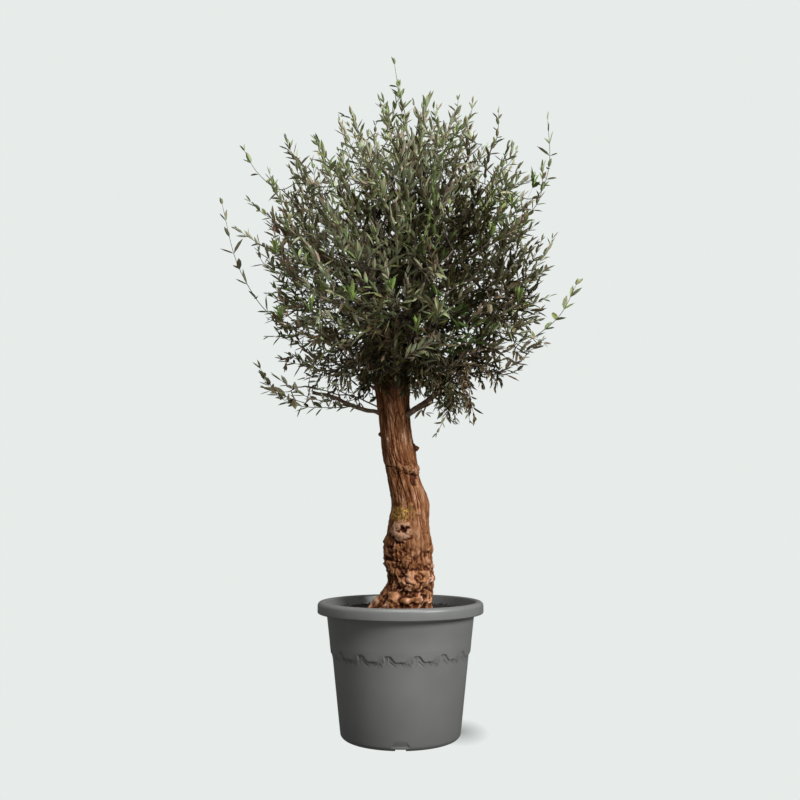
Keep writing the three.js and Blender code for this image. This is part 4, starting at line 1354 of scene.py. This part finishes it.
def add_hand_placed(wood, wood_parts, leaf_sets, random):
    """The long shoots and the tufts that are listed, grown from the nearest wood."""
    leaders = [(*leader, *LEADER_LEAVES) for leader in LEADERS]
    for route, kind, size, broad, spacing in WHIPS + leaders:
        points = metres(route)
        path = smooth_route([nearest_wood(wood, points[0]), *points], 25)[:24]
        leaves = leaves_on(path, spacing / 1000, size, random, bearing=0.50, broad=broad)
        add_shoot(path, WHIP_RADIUS, kind, leaves, wood_parts, leaf_sets)
    for *place, kind in TUFTS:
        tip = metres(place)
        foot = tip * np.array([0.90, 0.88, 1.0]) - UP * 0.075
        path = smooth_route([nearest_wood(wood, foot), foot, tip - UP * 0.02, tip], 12)
        leaves = leaves_on(path, TUFT_SPACING, 1.15, random, bearing=TUFT_HEIGHT, broad=0.95)
        add_shoot(path, TUFT_RADIUS, kind, leaves, wood_parts, leaf_sets)
    stick = smooth_route([nearest_wood(wood, CUT_STICK[0]), *CUT_STICK], 16)
    radii = np.linspace(*STICK_RADII, 16) + STICK_KNOT * (np.arange(16) == 14)
    add_tubes(wood_parts, stick[None], radii[None], 6)


def add_drooping(wood, wood_parts, leaf_sets, random):
    """Shoots that arch down from the wood above their tips."""
    for count, *ranges, size, kinds in DROOPING:
        for _ in range(count):
            tip = np.array([low + (high - low) * random.random() for low, high in metres(ranges)])
            above = tip + np.array([0.15 * (0.1 - tip[0]), 0.05, 0.10 + 0.05 * random.random()])
            path = curved(nearest_wood(wood, above), above + UP * 0.01, tip, SHOOT_ROWS)
            leaves = leaves_on(path, PAIR_SPACING * size, size, random, bearing=0.20)
            kind = kinds[int(random.random() * len(kinds))]
            add_shoot(path, DROOPING_RADIUS, kind, leaves, wood_parts, leaf_sets)


def make_foliage(paths, random):
    wood_parts, leaf_sets = Parts(), {kind: [] for kind in LEAF_KINDS}
    wood = []
    for name in MASSES:
        branches, start_points = grow_branches(name, paths[name], random)
        shoots = grow_shoots(name, start_points, random)
        for branch, radii in branches:
            add_tubes(wood_parts, branch[None], np.linspace(*radii, len(branch))[None], 6)
            wood.append(branch)
        radii = np.tile(np.linspace(*SHOOT_RADII, SHOOT_ROWS), (len(shoots), 1))
        add_tubes(wood_parts, np.array(shoots), radii, 3)
        for shoot in shoots:
            size = 0.82 + 0.36 * random.random()
            kind = spray_kind(shoot[-1], random)
            leaf_sets[kind].append(leaves_on(shoot, PAIR_SPACING, size, random))
    wood = np.concatenate(wood)
    add_hand_placed(wood, wood_parts, leaf_sets, random)
    add_drooping(wood, wood_parts, leaf_sets, random)
    return wood_parts, leaf_sets


LEAVES_PER_PIECE = 12000
LEAF_ROUGHNESS = {"upper": 0.38, "lower": 0.7}


def make_leaves(leaf_sets):
    """Joined meshes of leaves, each kind apart and under 200,000 triangles."""
    faces, sides = leaf_faces()
    pieces = []
    for kind, sprays in leaf_sets.items():
        materials = [leaf_material(f"leaf_{kind}_{face}", colour, LEAF_ROUGHNESS[face])
                     for face, colour in zip(("upper", "lower"), LEAF_KINDS[kind])]
        vertices = leaf_vertices(*[np.concatenate(column) for column in zip(*sprays)])
        for part, first in enumerate(range(0, len(vertices), LEAVES_PER_PIECE)):
            some = vertices[first:first + LEAVES_PER_PIECE]
            parts = Parts()
            parts.add(some, repeated(faces, len(some), len(LEAF_CORNERS)), np.tile(sides, len(some)))
            pieces.append(parts.build(f"leaves_{kind}_{part + 1}", materials, smooth=False))
    return pieces


# ---- Stage ----

# The camera stands in front, looks back along +Y and is tilted up. Sensor and lens in millimetres.
CAMERA = Sizes(place=(-0.0015, -2.6, 0.629), tilt=8.26, sensor=36.0, lens=37.71)
BACKDROP = (0.800, 0.838, 0.822)
AMBIENT_COLOUR = (0.98, 0.99, 0.97)
AMBIENT = 0.15                  # what the surroundings give, as a share of a white wall in full light
FLOOR_HALF_SIZE, FLOOR_DROP = 60.0, 0.0005
# The floor's one soft shade, beside the pot: its middle, how far it reaches, and how dark it is.
FLOOR_SHADE = Sizes(middle=(0.174, 0.060), reach=(0.095, 0.175), dark=0.60)


def make_camera():
    data = bpy.data.cameras.new("camera")
    data.sensor_width, data.lens = CAMERA.sensor, CAMERA.lens
    camera = add_to_scene("camera", data)
    camera.location = CAMERA.place
    camera.rotation_euler = (math.radians(90 + CAMERA.tilt), 0, 0)
    bpy.context.scene.camera = camera


def make_sun(name, azimuth, elevation, softness, power):
    """A soft even light that comes from an azimuth (0 is the front, 90 the right) and elevation."""
    data = bpy.data.lights.new(name, "SUN")
    data.angle = math.radians(softness)
    data.energy = power * math.pi
    turn = (math.radians(90 - elevation), 0, math.radians(azimuth))
    add_to_scene(name, data).rotation_euler = turn


def make_world():
    """Surroundings that show as the plain backdrop and light the tree only weakly."""
    world = bpy.data.worlds.new("studio")
    nodes = Nodes(world)
    seen = world.node_tree.nodes["Background"]
    nodes.feed(seen, {"Color": (*BACKDROP, 1)})
    lit = nodes.add("Background", "Background", {"Color": (*AMBIENT_COLOUR, 1), "Strength": AMBIENT})
    ray = nodes.add("LightPath", "Is Camera Ray", {})
    surface = nodes.add("MixShader", "Shader", {"Fac": ray, 1: lit, 2: seen.outputs["Background"]})
    nodes.feed(world.node_tree.nodes["World Output"], {"Surface": surface})
    bpy.context.scene.world = world


def floor_material():
    """The backdrop's own tone, so that no edge shows, with a soft shade on it."""
    nodes = new_material("floor")
    reach, middle = np.array(FLOOR_SHADE.reach), np.array(FLOOR_SHADE.middle)
    inputs = {"Vector": nodes.place(), "Scale": (*(1 / reach), 0), "Location": (*(-middle / reach), 0)}
    mapped = nodes.add("Mapping", "Vector", inputs)
    shade = nodes.add("TexGradient", "Fac", {"Vector": mapped}, gradient_type="SPHERICAL")
    inputs = {0: shade, 1: -FLOOR_SHADE.dark, 2: 1.0}
    glow = nodes.add("Math", "Value", inputs, operation="MULTIPLY_ADD")
    emission = {"Emission Color": (*BACKDROP, 1), "Emission Strength": glow}
    return nodes.shade((0, 0, 0, 1), 1.0, 0.0, **emission)


def make_floor():
    parts = Parts()
    corners = [(-1, -1, 0), (1, -1, 0), (1, 1, 0), (-1, 1, 0)]
    parts.add(np.array(corners) * FLOOR_HALF_SIZE - UP * FLOOR_DROP, [(0, 1, 2), (0, 2, 3)])
    floor = parts.build("floor", [floor_material()])
    floor.visible_diffuse = False
    floor.visible_glossy = False
    floor.visible_shadow = False


# The soft lights: azimuth (0 is the front, 90 the right), elevation, softness, power. The bounce
# comes from below, as light comes back from a white studio floor.
SUNS = [
    ("key", 47, 27, 20, 1.22),
    ("overhead", 8, 64, 30, 1.12),
    ("bounce", 20, -35, 90, 0.14),
    ("fill", -40, 10, 50, 0.055),
]


def make_stage():
    bpy.context.scene.view_settings.view_transform = "Standard"
    make_world()
    for sun in SUNS:
        make_sun(*sun)
    make_floor()


# ---- The tree ----


def main():
    random = np.random.default_rng(20)
    make_camera()
    make_stage()
    pot = make_pot(plastic_material())
    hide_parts("pot")
    compost = make_compost(compost_material(), random)
    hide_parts("compost")
    trunk = make_trunk(bark_material())
    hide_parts("trunk")

    paths = bough_paths()
    boughs = make_boughs(paths, [wood_material(name) for name in ("lit_bough_bark", "cut_wood", "shaded_bough_bark")])
    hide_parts(*BOUGH_NODES)

    wood_parts, leaf_sets = make_foliage(paths, random)
    twigs = wood_parts.build("twigs", [wood_material("twig_bark")])
    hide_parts(*MASS_NODES)
    leaves = make_leaves(leaf_sets)

    slots = {pot: "pot_plastic", compost: "compost", trunk: "bark", boughs: "bark",
             twigs: "bark", **{piece: "foliage" for piece in leaves}}
    for piece, slot in slots.items():
        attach(piece, "root")


main()
